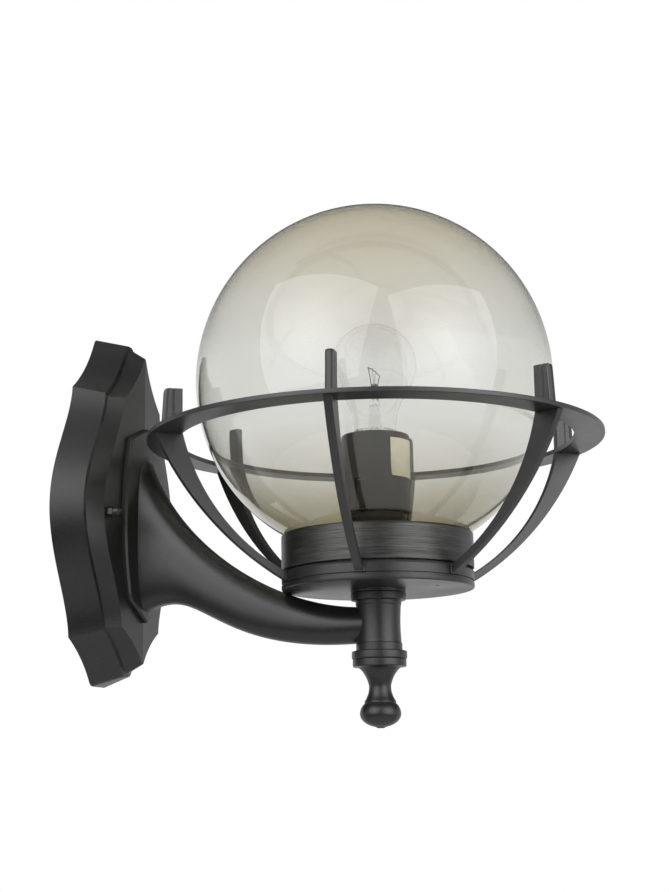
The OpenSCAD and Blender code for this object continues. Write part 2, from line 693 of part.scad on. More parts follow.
sleeve_z = holder_z + body_h;
sleeve_top_z = sleeve_z + sleeve_h;
body_wall = 2;
sleeve_wall = 1.8;
sleeve_turn = 172;
module holder_body() color(black) {
    on_axis() rotate_extrude() polygon([[tube_r, holder_z], [body_r - 1, holder_z], [body_r, holder_z + 1],
        [body_r, sleeve_z - eps], [body_r - body_wall, sleeve_z - eps], [body_r - body_wall, holder_z + 8],
        [9, holder_z + 8], [8, holder_z + 11], [tube_r, holder_z + 11]]);
}
contact_z = sleeve_top_z - 24.4;
lip_t = 1.4;
insert_r = sleeve_r - sleeve_wall - 0.15;
insert_top_z = sleeve_top_z - lip_t;
shell_r = cap_r + cap_clear;
shell_wall = 0.5;
shell_z = contact_z + 1.6;
shell_h = insert_top_z - shell_z;
lead_x = 8.5;
module holder_insert() color([0.85, 0.84, 0.8]) {
    low_r = body_r - 0.2;
    on_axis() difference() {
        spin([[0, sleeve_z], [low_r, sleeve_z], [low_r, sleeve_z + lip_t], [insert_r, sleeve_z + lip_t],
            [insert_r, insert_top_z], [0, insert_top_z]]);
        translate([0, 0, shell_z]) cylinder(r = shell_r + shell_wall, h = shell_h + 1);
        translate([0, 0, contact_z - 3.6]) cylinder(r = 5.4, h = 12);
        for (x = [-lead_x, lead_x]) translate([x, 0, sleeve_z - 1])
            cylinder(r = wire_r + 0.4, h = 14, $fn = 32);
    }
}
module holder_shell() color(brass) {
    on_axis() difference() {
        translate([0, 0, shell_z]) cylinder(r = shell_r + shell_wall, h = shell_h);
        translate([0, 0, shell_z + 0.5]) cylinder(r = shell_r, h = shell_h);
        translate([0, 0, shell_z - 1]) cylinder(r = 7.5, h = 4);
    }
}
module holder_contact() color(brass) {
    on_axis() {
        translate([0, 0, contact_z - 3.6]) cylinder(r = 3.6, h = 1.2, $fn = 48);
        translate([0, 0, contact_z - 2.5]) cylinder(r = 1.6, h = 2.5 - run_gap, $fn = 32);
    }
}

latch_w = 8.7;
latch_h = 20.6;
latch_z = sleeve_z + 1.2;
module latch_block(grow, r0, r1) {
    rotate(sleeve_turn) translate([r0, -latch_w / 2 - grow, latch_z - grow])
        cube([r1 - r0, latch_w + 2 * grow, latch_h + 2 * grow]);
}
module holder_sleeve() color(black) {
    lip_r = cap_r + 6;
    inner = sleeve_r - sleeve_wall;
    foot_r = body_r + 0.1;
    on_axis() difference() {
        spin([[foot_r, sleeve_z], [sleeve_r - 0.4, sleeve_z], [sleeve_r, sleeve_z + 0.4],
            [sleeve_r, sleeve_top_z - 1.2], [sleeve_r - 1.2, sleeve_top_z], [lip_r, sleeve_top_z],
            [lip_r, insert_top_z], [inner, insert_top_z], [inner, sleeve_z + lip_t - 0.2],
            [foot_r, sleeve_z + lip_t - 0.2]]);
        latch_block(0.4, inner - 0.5, sleeve_r + 2);
    }
}
module holder_latch() color([0.1, 0.1, 0.1]) {
    on_axis() intersection() {
        latch_block(0, insert_r - 1, sleeve_r);
        rotate_extrude() translate([insert_r, latch_z]) square([sleeve_r - 0.5 - insert_r, latch_h]);
    }
}
label_t = 0.25;
label_h = 26.5;
label_angle = 58;
label_drop = 5;
module holder_label() color([0.93, 0.92, 0.88]) {
    on_axis() rotate(223) translate([0, 0, sleeve_top_z - label_drop - label_h])
        rotate_extrude(angle = label_angle) translate([sleeve_r, 0]) square([label_t, label_h]);
}

wire_r = 0.95;
wire_x = 1.25;
// the wires: from the terminal block, down the arm's middle, up the tube to the lampholder
module wire(s) {
    lead(concat(
        [for (z = [4, -1]) [s * pole_pitch, -wire_hole_d, block_z + z]],
        [[s * 8.5, -wire_hole_d - 0.6, 11], [s * 5.5, -13, 5], [s * 3, -15.5, -1], [s * 1.7, -18.8, -6.2],
            [s * wire_x, -22.5, -10]],
        [for (i = [0 : channel_steps - 1]) middle_point(s * wire_x, i)],
        [for (p = [[4, 0.4], [1.7, 1.8], [0.4, 4.2], [0, 7.5]]) [s * wire_x, -reach + p[0], arm_z + p[1]]],
        [for (z = [column_top_z, disc_z, hub_top_z, washer_z, tube_top_z + 0.5]) [s * wire_x, -reach, z]],
        [for (p = [[2, 4], [4.5, 8], [7, 11]]) [s * p[0], -reach, tube_top_z + p[1]]],
        [for (z = [0, 4]) [s * lead_x, -reach, sleeve_z + z]]
    ), wire_r, 8);
}
module wire_live() color("brown") wire(1);
module wire_neutral() color("blue") wire(-1);

bulb_z = contact_z;
bulb_top_z = bulb_z + bulb_len;
glass_z = bulb_z + 26.8;
bulb_c = bulb_top_z - bulb_r;
glass_wall = 0.6;
neck_glass_r = cap_r + 1.6;
seal_r = cap_r - 0.75;
// outline of the glass, from its seal in the cap up over the ball
function glass_line(in) =
    let (r = bulb_r - in, low = neck_glass_r - in, a0 = -38, e = [r * cos(a0), bulb_c + r * sin(a0)])
    concat(
        [[seal_r - in, glass_z - 4.6], [seal_r - in, glass_z - 3.2], [low - 0.5, glass_z - 0.9]],
        [[low, glass_z + 3]],
        [for (i = [1 : 7]) quad([low, glass_z + 3], [low + 1.2, glass_z + 18], e, i / 8)],
        [for (i = [0 : 15]) let (a = a0 + (90 - a0) * i / 16) [r * cos(a), bulb_c + r * sin(a)]]
    );
module bulb_glass() color([0.9, 0.93, 0.95, 0.4]) {
    outer = glass_line(0);
    inner = glass_line(glass_wall);
    n = len(inner);
    on_axis() rotate_extrude($fn = 64) polygon(concat(outer, [[0, bulb_top_z], [0, bulb_top_z - glass_wall]],
        [for (i = [n - 1 : -1 : 0]) inner[i]]));
}
cap_z = bulb_z + 3.4;
cap_low_r = 9;
cap_t = 0.4;
module bulb_cap() color(steel) {
    t = cap_t;
    on_axis() rotate_extrude() polygon([[cap_low_r, cap_z], [cap_r - 1.2, cap_z + 1.2], [cap_r, cap_z + 3],
        [cap_r, glass_z - 3], [neck_glass_r + t, glass_z - 1.2], [neck_glass_r + t, glass_z + 1],
        [neck_glass_r + 0.1, glass_z + 1], [neck_glass_r + 0.1, glass_z - 1], [cap_r - t, glass_z - 2.6 - t],
        [cap_r - t, cap_z + 3.2], [cap_r - 1.4 - t, cap_z + 1.2 + t], [cap_low_r, cap_z + t + 0.2]]);
}
module bulb_insulator() color([0.08, 0.08, 0.1]) {
    on_axis() spin([[4.6, bulb_z + 1.4], [cap_low_r, cap_z], [cap_low_r, cap_z + 1.4],
        [3, cap_z + 1.4], [3, bulb_z + 1.4]]);
}
module bulb_contact() color([0.75, 0.75, 0.72]) {
    on_axis() spin([[0, bulb_z], [2.6, bulb_z], [4.4, bulb_z + 1], [4.6, bulb_z + 1.4], [3, bulb_z + 1.4],
        [3, cap_z + 1.4], [0, cap_z + 1.4]]);
}
stem_h = 62;
stem_top_z = bulb_z + stem_h;
module bulb_stem() color([0.85, 0.9, 0.92, 0.6]) {
    in_r = seal_r - glass_wall;
    on_axis() spin([[0, cap_z + 1.4], [2.5, cap_z + 1.4], [2.5, glass_z - 5.4], [in_r, glass_z - 4.6],
        [in_r, glass_z - 3.8], [4, glass_z + 9], [3.2, stem_top_z - 12], [2, stem_top_z - 8],
        [1.6, stem_top_z - 2], [2.4, stem_top_z - 1], [2.4, stem_top_z], [0, stem_top_z]]);
}
// the filament hangs between two leads and over two props on the stem's button
filament_z = stem_top_z + 9;
filament_half = 14;
module bulb_filament() color([0.6, 0.6, 0.6]) {
    r = 0.35;
    on_axis() {
        for (s = [-1, 1]) hull() {
            translate([s * 2.6, 0, stem_top_z - 12]) sphere(r = r, $fn = 8);
            translate([s * filament_half, 0, filament_z]) sphere(r = r, $fn = 8);
        }
        for (s = [-1, 1]) hull() {
            translate([s * 0.8, 0, stem_top_z - 0.4]) sphere(r = r, $fn = 8);
            translate([s * 4.5, 0, filament_z + 1]) sphere(r = r, $fn = 8);
        }
        for (s = [-1, 1]) hull() {
            translate([s * filament_half, 0, filament_z]) sphere(r = r, $fn = 8);
            translate([s * 4.5, 0, filament_z + 1]) sphere(r = r, $fn = 8);
        }
        hull() for (s = [-1, 1]) translate([s * 4.5, 0, filament_z + 1]) sphere(r = r, $fn = 8);
    }
}

wall_plate();
mounting_bar();
studs();
cap_nuts();
earth_screw();
terminal_block();
terminal_screws();
arm();
arm_screws();
lamp_tube();
finial();
base_disc();
cage_hub();
for (i = [1 : 6]) cage_rib(i);
cage_ring();
hub_gasket();
globe_seat();
neck_seal();
tube_washer();
tube_nut();
holder_body();
holder_insert();
holder_shell();
holder_contact();
holder_sleeve();
holder_latch();
holder_label();
wire_live();
wire_neutral();
collar();
globe();
bulb_glass();
bulb_cap();
bulb_insulator();
bulb_contact();
bulb_stem();
bulb_filament();
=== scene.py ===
# Outdoor wall light: cast wall plate, trumpet arm, open cage of ribs and a smoky globe.
# The pieces follow from the wall outwards, then up the column to the globe and the bulb.
# The wall is at y = 0. The frame is in metres, and the sizes of the pieces in millimetres.
import bpy
import bmesh
import math
from collections import namedtuple
from mathutils import Matrix, Vector


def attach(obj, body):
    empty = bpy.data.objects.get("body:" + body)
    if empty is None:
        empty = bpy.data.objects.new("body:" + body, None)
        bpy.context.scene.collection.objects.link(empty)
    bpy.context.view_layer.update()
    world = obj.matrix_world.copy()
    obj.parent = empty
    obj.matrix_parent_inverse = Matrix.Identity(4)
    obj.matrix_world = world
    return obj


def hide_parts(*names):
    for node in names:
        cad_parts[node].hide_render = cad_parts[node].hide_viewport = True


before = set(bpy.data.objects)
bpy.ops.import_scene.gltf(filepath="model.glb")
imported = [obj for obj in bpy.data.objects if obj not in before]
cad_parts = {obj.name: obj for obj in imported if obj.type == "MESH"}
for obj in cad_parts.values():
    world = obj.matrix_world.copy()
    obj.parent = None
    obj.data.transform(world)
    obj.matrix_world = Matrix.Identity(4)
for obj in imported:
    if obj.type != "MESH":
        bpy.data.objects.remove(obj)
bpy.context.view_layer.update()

# The view. The light is seen from its open side and from a little below, with a long lens,
# as it was photographed.
eye = Vector((-1.0958, -0.54662, -0.19453))
heading, rise, roll = math.radians(71.574), math.radians(11.518), math.radians(-0.8417)
camera_data = bpy.data.cameras.new("camera")
camera_data.sensor_fit = "VERTICAL"
camera_data.sensor_height = 36
camera_data.lens = 67.589
camera_data.clip_end = 60
camera = bpy.data.objects.new("camera", camera_data)
camera.matrix_world = (
    Matrix.Translation(eye)
    @ Matrix.Rotation(-heading, 4, "Z")
    @ Matrix.Rotation(math.pi / 2 + rise, 4, "X")
    @ Matrix.Rotation(roll, 4, "Z")
)
bpy.context.scene.collection.objects.link(camera)
bpy.context.scene.camera = camera
bpy.context.scene.view_settings.view_transform = "Standard"

# The studio. Two soft boxes stand left and right of the camera and are brightest in their
# middle. The room is white behind the light and through its glass, pale at the sides and
# dark above. The floor is plain pale paper.
mm = 0.001


class Grade:
    """A number or a colour that changes over a surface. Sums on it add Math nodes."""

    def __init__(self, recipe, socket):
        self.recipe, self.socket = recipe, socket

    def sum(self, operation, a, b):
        return self.recipe.node("Math", {"operation": operation}, {0: a, 1: b})

    def __add__(self, other):
        return self.sum("ADD", self, other)

    __radd__ = __add__

    def __sub__(self, other):
        return self.sum("SUBTRACT", self, other)

    def __rsub__(self, other):
        return self.sum("SUBTRACT", other, self)

    def __mul__(self, other):
        return self.sum("MULTIPLY", self, other)

    __rmul__ = __mul__


class Recipe:
    """A finish as it is mixed, on the tree of a material, a lamp or the room."""

    def __init__(self, name, holder=None):
        self.made = holder or bpy.data.materials.new(name)
        self.made.use_nodes = True
        self.tree = self.made.node_tree
        self.tree.nodes.clear()

    def node(self, kind, settings=None, inputs=None, out=0):
        step = self.tree.nodes.new("ShaderNode" + kind)
        for key, value in (settings or {}).items():
            setattr(step, key, value)
        for key, value in (inputs or {}).items():
            if isinstance(value, Grade):
                self.tree.links.new(value.socket, step.inputs[key])
            else:
                step.inputs[key].default_value = value
        return Grade(self, step.outputs[out]) if step.outputs else None

    def place(self):
        """Where a point of the piece lies, in the light's own frame."""
        return self.node("TexCoord", out="Object")

    def height(self, spot):
        """The upright share of a place or a direction."""
        return self.node("SeparateXYZ", None, {0: spot}, "Z")

    def along(self, spot, way):
        """The share of a direction that lies along another one."""
        return self.node("VectorMath", {"operation": "DOT_PRODUCT"}, {0: spot, 1: way}, "Value")

    def between(self, share, first, second):
        """The colour that lies a share of the way from the first to the second."""
        first, second = [c if isinstance(c, Grade) else (*c, 1) for c in (first, second)]
        return self.node("Mix", {"data_type": "RGBA"}, {0: share, 6: first, 7: second}, 2)

    def noise(self, size, detail=3, rough=0.5, stretch=None):
        """Cloudy values from 0 to 1; size is that of one cloud in millimetres."""
        spot = self.place()
        if stretch:
            spot = self.node("Mapping", None, {"Vector": spot, "Scale": stretch})
        inputs = {"Vector": spot, "Scale": 1 / (size * mm), "Detail": detail, "Roughness": rough}
        return self.node("TexNoise", None, inputs)

    def cells(self, size):
        return self.node("TexVoronoi", None, {"Vector": self.place(), "Scale": 1 / (size * mm)})

    def ramp(self, value, low, high, start=0, end=1):
        """From start at low to end at high, and no further."""
        return self.node("MapRange", {"clamp": True}, {0: value, 1: low, 2: high, 3: start, 4: end})

    def swing(self, noise, start, end):
        """From start to end over the values that a noise mostly takes."""
        return self.ramp(noise, 0.3, 0.7, start, end)

    def unscattered(self):
        """1 until a ray has bounced off a matt surface, through glass or not, and 0 after."""
        return 1 - self.ramp(self.node("LightPath", out="Diffuse Depth"), 0, 1)

    def bump(self, height, depth, strength):
        """A surface that stands out by a depth in millimetres where the height is 1."""
        inputs = {"Height": height, "Distance": depth * mm, "Strength": strength}
        return self.node("Bump", None, inputs)

    def finish(self, **inputs):
        """Closes the recipe with the main shader; names with _ for spaces."""
        sockets = {key.replace("_", " "): value for key, value in inputs.items()}
        surface = self.node("BsdfPrincipled", None, sockets)
        self.node("OutputMaterial", None, {"Surface": surface})
        return self.made


globe_middle = Vector((0, -0.2116, 0.0836))
box_distance = 1.25


def softbox(name, towards, side, edge_light=1.85, middle_light=4.4):
    """A lit square whose brightness rises from its edge to its middle."""
    lamp = bpy.data.lights.new(name, "AREA")
    lamp.shape, lamp.size, lamp.energy = "SQUARE", side, math.pi * side * side
    cloth = Recipe(name, lamp)
    spot = cloth.node("NewGeometry", out="Parametric")
    off = cloth.node("VectorMath", {"operation": "DISTANCE"}, {0: spot, 1: (0.5, 0.5, 0)}, "Value")
    swell = cloth.node(
        "MapRange", {"interpolation_type": "SMOOTHSTEP"},
        {0: off, 1: 0.48, 2: 0, 3: edge_light, 4: middle_light},
    )
    glow = cloth.node("Emission", None, {"Strength": swell})
    cloth.node("OutputLight", None, {"Surface": glow})
    box = bpy.data.objects.new(name, lamp)
    away = Vector(towards).normalized()
    box.location = globe_middle + away * box_distance
    box.rotation_euler = away.to_track_quat("Z", "Y").to_euler()
    box.visible_transmission = False
    bpy.context.scene.collection.objects.link(box)


softbox("softbox_wall_side", (-0.862, 0.341, 0.375), 1.62)
softbox("softbox_open_side", (-0.420, -0.875, 0.242), 1.55)

world = bpy.data.worlds.new("room")
bpy.context.scene.world = world
room = Recipe("room", world)
towards = room.node("TexCoord", out="Generated")
skywards = room.height(towards)
behind = room.along(towards, (0.949, 0.316, 0))
rightwards = room.along(towards, (0.316, -0.949, 0))
backdrop = room.ramp(behind, 0.1, 0.45) * room.ramp(skywards, 0.4, 0.22) * 0.8
beside = room.ramp(behind, 0.45, 0.1) * room.ramp(skywards, 0.345, 0.325)
left_wall = room.ramp(rightwards, -0.25, -0.45) * 0.3
right_wall = room.ramp(rightwards, 0.25, 0.45) * 0.6
walls = beside * (left_wall + right_wall) * room.ramp(skywards, -0.5, -0.3)
level = backdrop + walls + room.ramp(skywards, 0.7, 0.9) * 0.25 + 0.06
mirrored = room.node("CombineXYZ", None, {0: level, 1: level, 2: level})
seen = room.node("LightPath", out="Is Camera Ray")
through = room.node("LightPath", out="Is Transmission Ray") * room.unscattered()
paper_white = room.node("Math", {"operation": "MAXIMUM"}, {0: seen, 1: through})
shown = room.between(paper_white, mirrored, (1, 1, 1))
room.node("OutputWorld", None, {
    "Surface": room.node("Background", None, {"Color": shown, "Strength": 1}),
})


def round_steps(count):
    """Cosines and sines of equal steps all the way round."""
    return [(math.cos(math.tau * k / count), math.sin(math.tau * k / count)) for k in range(count)]


floor_z, floor_r, floor_y = -0.9, 1.25, -0.2
floor_mesh = bpy.data.meshes.new("floor")
floor_edge = [(floor_r * c, floor_r * s + floor_y, floor_z) for c, s in round_steps(96)]
floor_mesh.from_pydata(floor_edge, [], [list(range(96))])
floor = bpy.data.objects.new("floor", floor_mesh)
bpy.context.scene.collection.objects.link(floor)
paper = Recipe("floor_paper")
floor_mesh.materials.append(paper.finish(
    Base_Color=paper.between(paper.noise(2.5), (0.9, 0.9, 0.89), (0.94, 0.94, 0.94)),
    Roughness=0.9,
))

# The wall plate is an aluminium casting with a 3 mm wall, open towards the wall: two tiers
# and a front of shallow facets that meet at an upright ridge. It is powder coated black with
# a fine sand grain. Inside it are two bosses for the screws of the arm.


def powder_coat(name, depth=0.1, dust=0.35, tone=1):
    """Black powder coat; dust settles on what faces up, and tone lightens the black."""
    coat = Recipe(name)
    sand = coat.noise(1.1, 2, 0.65)
    clouds = coat.noise(38, 2)
    specks = coat.ramp(coat.noise(0.9, 1), 0.7, 0.8)
    deep, worn = (0.0055, 0.0055, 0.006), (0.0095, 0.0095, 0.0092)
    black = coat.between(clouds, [tone * v for v in deep], [tone * v for v in worn])
    facing_up = coat.ramp(coat.height(coat.node("NewGeometry", out="Normal")), 0.55, 0.98)
    settled = facing_up * coat.ramp(coat.noise(9, 4, 0.7), 0.3, 0.75) * dust
    colour = coat.between(settled, black, (0.1, 0.095, 0.085))
    return coat.finish(
        Base_Color=coat.between(specks * 0.6, colour, (0.06, 0.06, 0.058)),
        Roughness=coat.ramp(sand + clouds, 0.6, 1.4, 0.3, 0.44),
        Normal=coat.bump(sand, depth, 0.7),
    )


def object_from(name, form, smooth=30, bevel=None, bevel_from=34):
    """A piece from mesh work in millimetres, with even shading between its crisp edges."""
    bmesh.ops.remove_doubles(form, verts=form.verts, dist=0.001)
    bmesh.ops.recalc_face_normals(form, faces=form.faces)
    bmesh.ops.scale(form, vec=(mm, mm, mm), verts=form.verts)
    mesh = bpy.data.meshes.new(name)
    form.to_mesh(mesh)
    form.free()
    piece = bpy.data.objects.new(name, mesh)
    bpy.context.scene.collection.objects.link(piece)
    if bevel:
        rounding = piece.modifiers.new("eased_edges", "BEVEL")
        rounding.width, rounding.segments = bevel * mm, 2
        rounding.angle_limit = math.radians(bevel_from)
        settle(piece)
    shaded(piece, smooth)
    return piece


def shaded(piece, smooth=30):
    piece.data.shade_smooth()
    piece.data.set_sharp_from_angle(angle=math.radians(smooth))


def settle(piece):
    """The piece keeps the shape that its modifiers give it."""
    bpy.context.view_layer.update()
    shaped = piece.evaluated_get(bpy.context.evaluated_depsgraph_get())
    mesh = bpy.data.meshes.new_from_object(shaped)
    piece.modifiers.clear()
    piece.data = mesh


def joined(piece, other, how="UNION"):
    """Joins another solid to the piece, or cuts it out, and uses it up."""
    work = piece.modifiers.new(how, "BOOLEAN")
    work.operation, work.object, work.solver = how, other, "EXACT"
    settle(piece)
    bpy.data.objects.remove(other)
    shaded(piece)


def round_bar(radius, start, end, sides=48):
    """A plain round bar or cutter between two points."""
    form = bmesh.new()
    start, end = Vector(start), Vector(end)
    turn = (end - start).to_track_quat("Z", "Y").to_matrix().to_4x4()
    bmesh.ops.create_cone(
        form, cap_ends=True, segments=sides, radius1=radius, radius2=radius,
        depth=(end - start).length, matrix=Matrix.Translation((start + end) / 2) @ turn,
    )
    return object_from("bar", form)


def drilled(piece, radius, start, end, sides=48):
    """Drills a round hole in the piece between two points."""
    joined(piece, round_bar(radius, start, end, sides), "DIFFERENCE")


def half_shell(columns):
    """A form that is alike left and right, from its columns of points on one side."""
    form = bmesh.new()
    columns = columns + [[(-x, y, z) for x, y, z in column] for column in columns[::-1]]
    rows = [[form.verts.new(p) for p in column] for column in columns]
    for one, two in zip(rows, rows[1:] + rows[:1]):
        for k in range(len(one) - 1):
            form.faces.new((one[k], one[k + 1], two[k + 1], two[k]))
    return form


def fitted(piece, finish, slot, body, *stands_for):
    """The piece gets its finish and its place in the frame."""
    piece.data.materials.clear()
    piece.data.materials.append(finish)
    even = piece.modifiers.new("even_shading", "WEIGHTED_NORMAL")
    even.keep_sharp = True
    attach(piece, body)
    if stands_for:
        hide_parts(*stands_for)


def curve(start, pull, end, t):
    """A point on the bend between two points that a third one pulls out."""
    return (1 - t) ** 2 * start + 2 * t * (1 - t) * pull + t * t * end


black_coat = powder_coat("black_powder_coat")
ridge_out, facet_fall, plate_wall = 35, 0.065, 3
Level = namedtuple("Level", "tip_half upper_tip lower_tip shoulder_half shoulder_z belly_half")
at_wall = Level(12.7, 133.4, 121.7, 47.3, 89.7, 78.4)
tier_one = Level(5.7, 128.4, 115.2, 39.3, 85, 71)
tier_step = Level(*[v - 2.4 for v in tier_one])
front = Level(1.2, 118, 106.6, 30.5, 82.2, 57.2)
tier_out, step_out, tier_hollow, step_hollow = 22.3, 22.9, 19.3, 20


def thinned(level, wall):
    """The level's sizes on the inside of the casting."""
    return Level(
        max(level.tip_half - wall, 0.6), level.upper_tip - wall, level.lower_tip - wall,
        level.shoulder_half - 1.1 * wall, level.shoulder_z - 0.6 * wall, level.belly_half - wall,
    )


def tip_line(level, tip):
    """From the middle of a tip, round its soft corner and along the cove to the shoulder."""
    corner = Vector((level.tip_half, tip))
    shoulder = Vector((level.shoulder_half, level.shoulder_z))
    pull = Vector((
        0.62 * corner.x + 0.38 * shoulder.x - 2, 0.38 * corner.y + 0.62 * shoulder.y + 1,
    ))
    corner_end = 0.075
    before = corner - Vector((0.8 * min(level.tip_half, 5), 0))
    after = curve(corner, pull, shoulder, corner_end)
    bend = [curve(before, corner, after, t) for t in (0, 0.25, 0.5, 0.75)]
    rest = [corner_end + (1 - corner_end) * k / 14 for k in range(14)]
    return bend + [curve(corner, pull, shoulder, t) for t in rest]


def outline(level):
    """One side of the plate from its upper to its lower tip, as half width and height."""
    belly = []
    for k in range(53):
        h = level.shoulder_z * (1 - k / 26)
        bulge = math.sin(math.pi / 2 * (1 - abs(h) / level.shoulder_z)) ** 1.6
        belly.append(Vector((
            level.shoulder_half + (level.belly_half - level.shoulder_half) * bulge, h,
        )))
    low = [Vector((p.x, -p.y)) for p in tip_line(level, level.lower_tip)]
    return tip_line(level, level.upper_tip) + belly + low[::-1]


inner = [outline(thinned(level, plate_wall)) for level in (front, tier_step, tier_one, at_wall)]
outer = [outline(level) for level in (at_wall, tier_one, tier_step, front)]
columns = []
for in_front, in_step, in_tier, in_rim, rim, tier, step, facet in zip(*inner, *outer):
    columns.append([
        (0, plate_wall - ridge_out, in_front.y),
        (in_front.x, -(ridge_out - plate_wall - facet_fall * in_front.x), in_front.y),
        (in_step.x, -step_hollow, in_step.y), (in_tier.x, -tier_hollow, in_tier.y),
        (in_rim.x, 0, in_rim.y), (rim.x, 0, rim.y),
        (tier.x, -tier_out, tier.y), (step.x, -step_out, step.y),
        (facet.x, -(ridge_out - facet_fall * facet.x), facet.y), (0, -ridge_out, facet.y),
    ])
plate = object_from("cast_wall_plate", half_shell(columns), 25, bevel=0.5, bevel_from=13)
arm_screw_z, stud_x, stud_z, cable_z = (29, -54), 51, -4, -12
for z in arm_screw_z:
    joined(plate, round_bar(8, (0, -27, z), (0, -33.5, z)))
for z in arm_screw_z:
    drilled(plate, 2.8, (0, -20, z), (0, -40, z))
for x in (-stud_x, stud_x):
    drilled(plate, 2.3, (x, -20, stud_z), (x, -40, stud_z))
drilled(plate, 5.6, (0, -20, cable_z), (0, -40, cable_z))
plate.data.set_sharp_from_angle(angle=math.radians(20))
for line in plate.data.edges:
    ends = [plate.data.vertices[v].co for v in line.vertices]
    if all(abs(p.x) < 0.01 * mm for p in ends):
        line.use_edge_sharp = True
fitted(plate, black_coat, "black_casting", "fixture", "wall_plate")

# The bar behind the plate is pressed from zinc plated steel, with slots for the two wall
# screws. Two studs stand on it, and the plate hangs on them under black cap nuts.


def kept(names, finish):
    """A piece whose solid already has the right shape gets its finish."""
    for name in names.split():
        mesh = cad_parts[name].data
        mesh.materials.clear()
        mesh.materials.append(finish)


def skinned(form, columns, closed=True):
    """Faces between neighbouring rows of points, and from the last row back to the first."""
    rows = [[form.verts.new(p) for p in column] for column in columns]
    pairs = list(zip(rows, rows[1:])) + ([(rows[-1], rows[0])] if closed else [])
    for one, two in pairs:
        for k in range(len(one)):
            j = (k + 1) % len(one)
            form.faces.new((one[k], one[j], two[j], two[k]))
    return rows


def capped(form, sections):
    """A solid along its sections, with a face on either end."""
    rows = skinned(form, sections, closed=False)
    form.faces.new(rows[0][::-1])
    form.faces.new(rows[-1])


zinc = Recipe("zinc_plate")
grains = zinc.cells(4.5)
streaks = zinc.noise(1.4, 3, 0.6, (1, 1, 0.15))
zinc_look = zinc.finish(
    Base_Color=zinc.between(zinc.noise(14), (0.5, 0.51, 0.52), (0.66, 0.66, 0.64)),
    Metallic=1.0, Roughness=zinc.ramp(grains + streaks, 0.4, 1.5, 0.27, 0.5),
    Normal=zinc.bump(streaks, 0.03, 0.5),
)
kept("mounting_bar studs", zinc_look)

nut_coat = powder_coat("black_nut_finish", 0.03, 0.1)
nuts = bmesh.new()
seat_out = ridge_out - facet_fall * 47.5 + 0.1
nut_half, dome_base, dome_r = 3.5, 6.6, 2.9
nut_corner = nut_half / math.cos(math.radians(30))
sixths = [math.radians(60 * k + 30) for k in range(6)]
nut_rows = [(0, 0.93), (0.35, 1), (3.6, 1), (4, 0.9)]
dome_rows = [(3.6, dome_r), (dome_base, dome_r)] + [
    (dome_base + dome_r * math.sin(a), dome_r * math.cos(a))
    for a in [k * math.pi / 16 for k in range(1, 8)]
]
for x in (-stud_x, stud_x):
    capped(nuts, [[
        (x + nut_corner * size * -math.cos(a), -seat_out - out,
         stud_z + nut_corner * size * math.sin(a)) for a in sixths
    ] for out, size in nut_rows])
    capped(nuts, [
        [(x + r * c, -seat_out - out, stud_z + r * s) for c, s in round_steps(40)]
        for out, r in dome_rows
    ])
fitted(object_from("cap_nut_pair", nuts, 35), nut_coat, "black_nuts", "fixture", "cap_nuts")

# The mains wires meet in a white three-pole terminal block with brass screws, and the bar
# is earthed by a brass screw on a washer.
brass = Recipe("brass")
tarnish = brass.noise(5, 4, 0.65)
brass_look = brass.finish(
    Base_Color=brass.between(tarnish, (0.66, 0.44, 0.17), (0.8, 0.6, 0.29)), Metallic=1.0,
    Roughness=brass.swing(tarnish, 0.22, 0.42), Normal=brass.bump(brass.noise(0.8), 0.02, 0.5),
)
kept("earth_screw terminal_screws", brass_look)
moulding = Recipe("white_moulding")
flow = moulding.noise(7, 3)
kept("terminal_block", moulding.finish(
    Base_Color=moulding.between(flow, (0.74, 0.73, 0.69), (0.82, 0.81, 0.78)),
    Roughness=moulding.swing(flow, 0.38, 0.5), Normal=moulding.bump(moulding.noise(0.5), 0.02, 0.5),
))

# The arm is one aluminium casting, coated like the plate: a flat foot with bowed sides, a
# trumpet that runs out and down to the column, and the column between two flanges. Zinc
# plated screws from inside the plate hold it, and a plated tube runs up the column.
foot_half, foot_bow, side_top, side_length = 25, 32, 54, 117
foot_edge, foot_thick, foot_ease = 2.7, 4, 1.4
sides = [
    (foot_half + foot_bow * f * (1 - f), side_top - side_length * f)
    for f in [k / 24 for k in range(25)]
]
foot_columns = []
for x, z in [(0.5, 64.4), *sides, (0.5, -77.2)]:
    near_end = x < 1 or abs(z) > 50
    eased_z = z - math.copysign(0.9, z) if near_end else z
    foot_columns.append([
        (0, -ridge_out, z), (x, -(ridge_out - facet_fall * x), z),
        (x, -(ridge_out + foot_edge - facet_fall * x), z),
        (max(x - foot_ease, 0.3), -(ridge_out + foot_thick - facet_fall * x), eased_z),
        (0, -ridge_out - foot_thick, eased_z),
    ])
arm = object_from("cast_arm", half_shell(foot_columns), 30, bevel=0.5)

reach, arm_z, arm_r, trumpet_half = 211.6, -85.9, 12.35, 17
arm_end = reach - 8.6
upper = [(36, 50.5), (54.5, -20.7), (reach - 74, arm_z + arm_r), (arm_end, arm_z + arm_r)]
lower = [(36, -70.7), (84, -47), (reach - 126.5, arm_z - arm_r - 6.1), (arm_end, arm_z - arm_r)]


def arm_line(pulls, t):
    """A point of the arm's upper or lower line, as distance from the wall and height."""
    shares = ((1 - t) ** 3, 3 * t * (1 - t) ** 2, 3 * t * t * (1 - t), t ** 3)
    return Vector([sum(s * p[axis] for s, p in zip(shares, pulls)) for axis in (0, 1)])


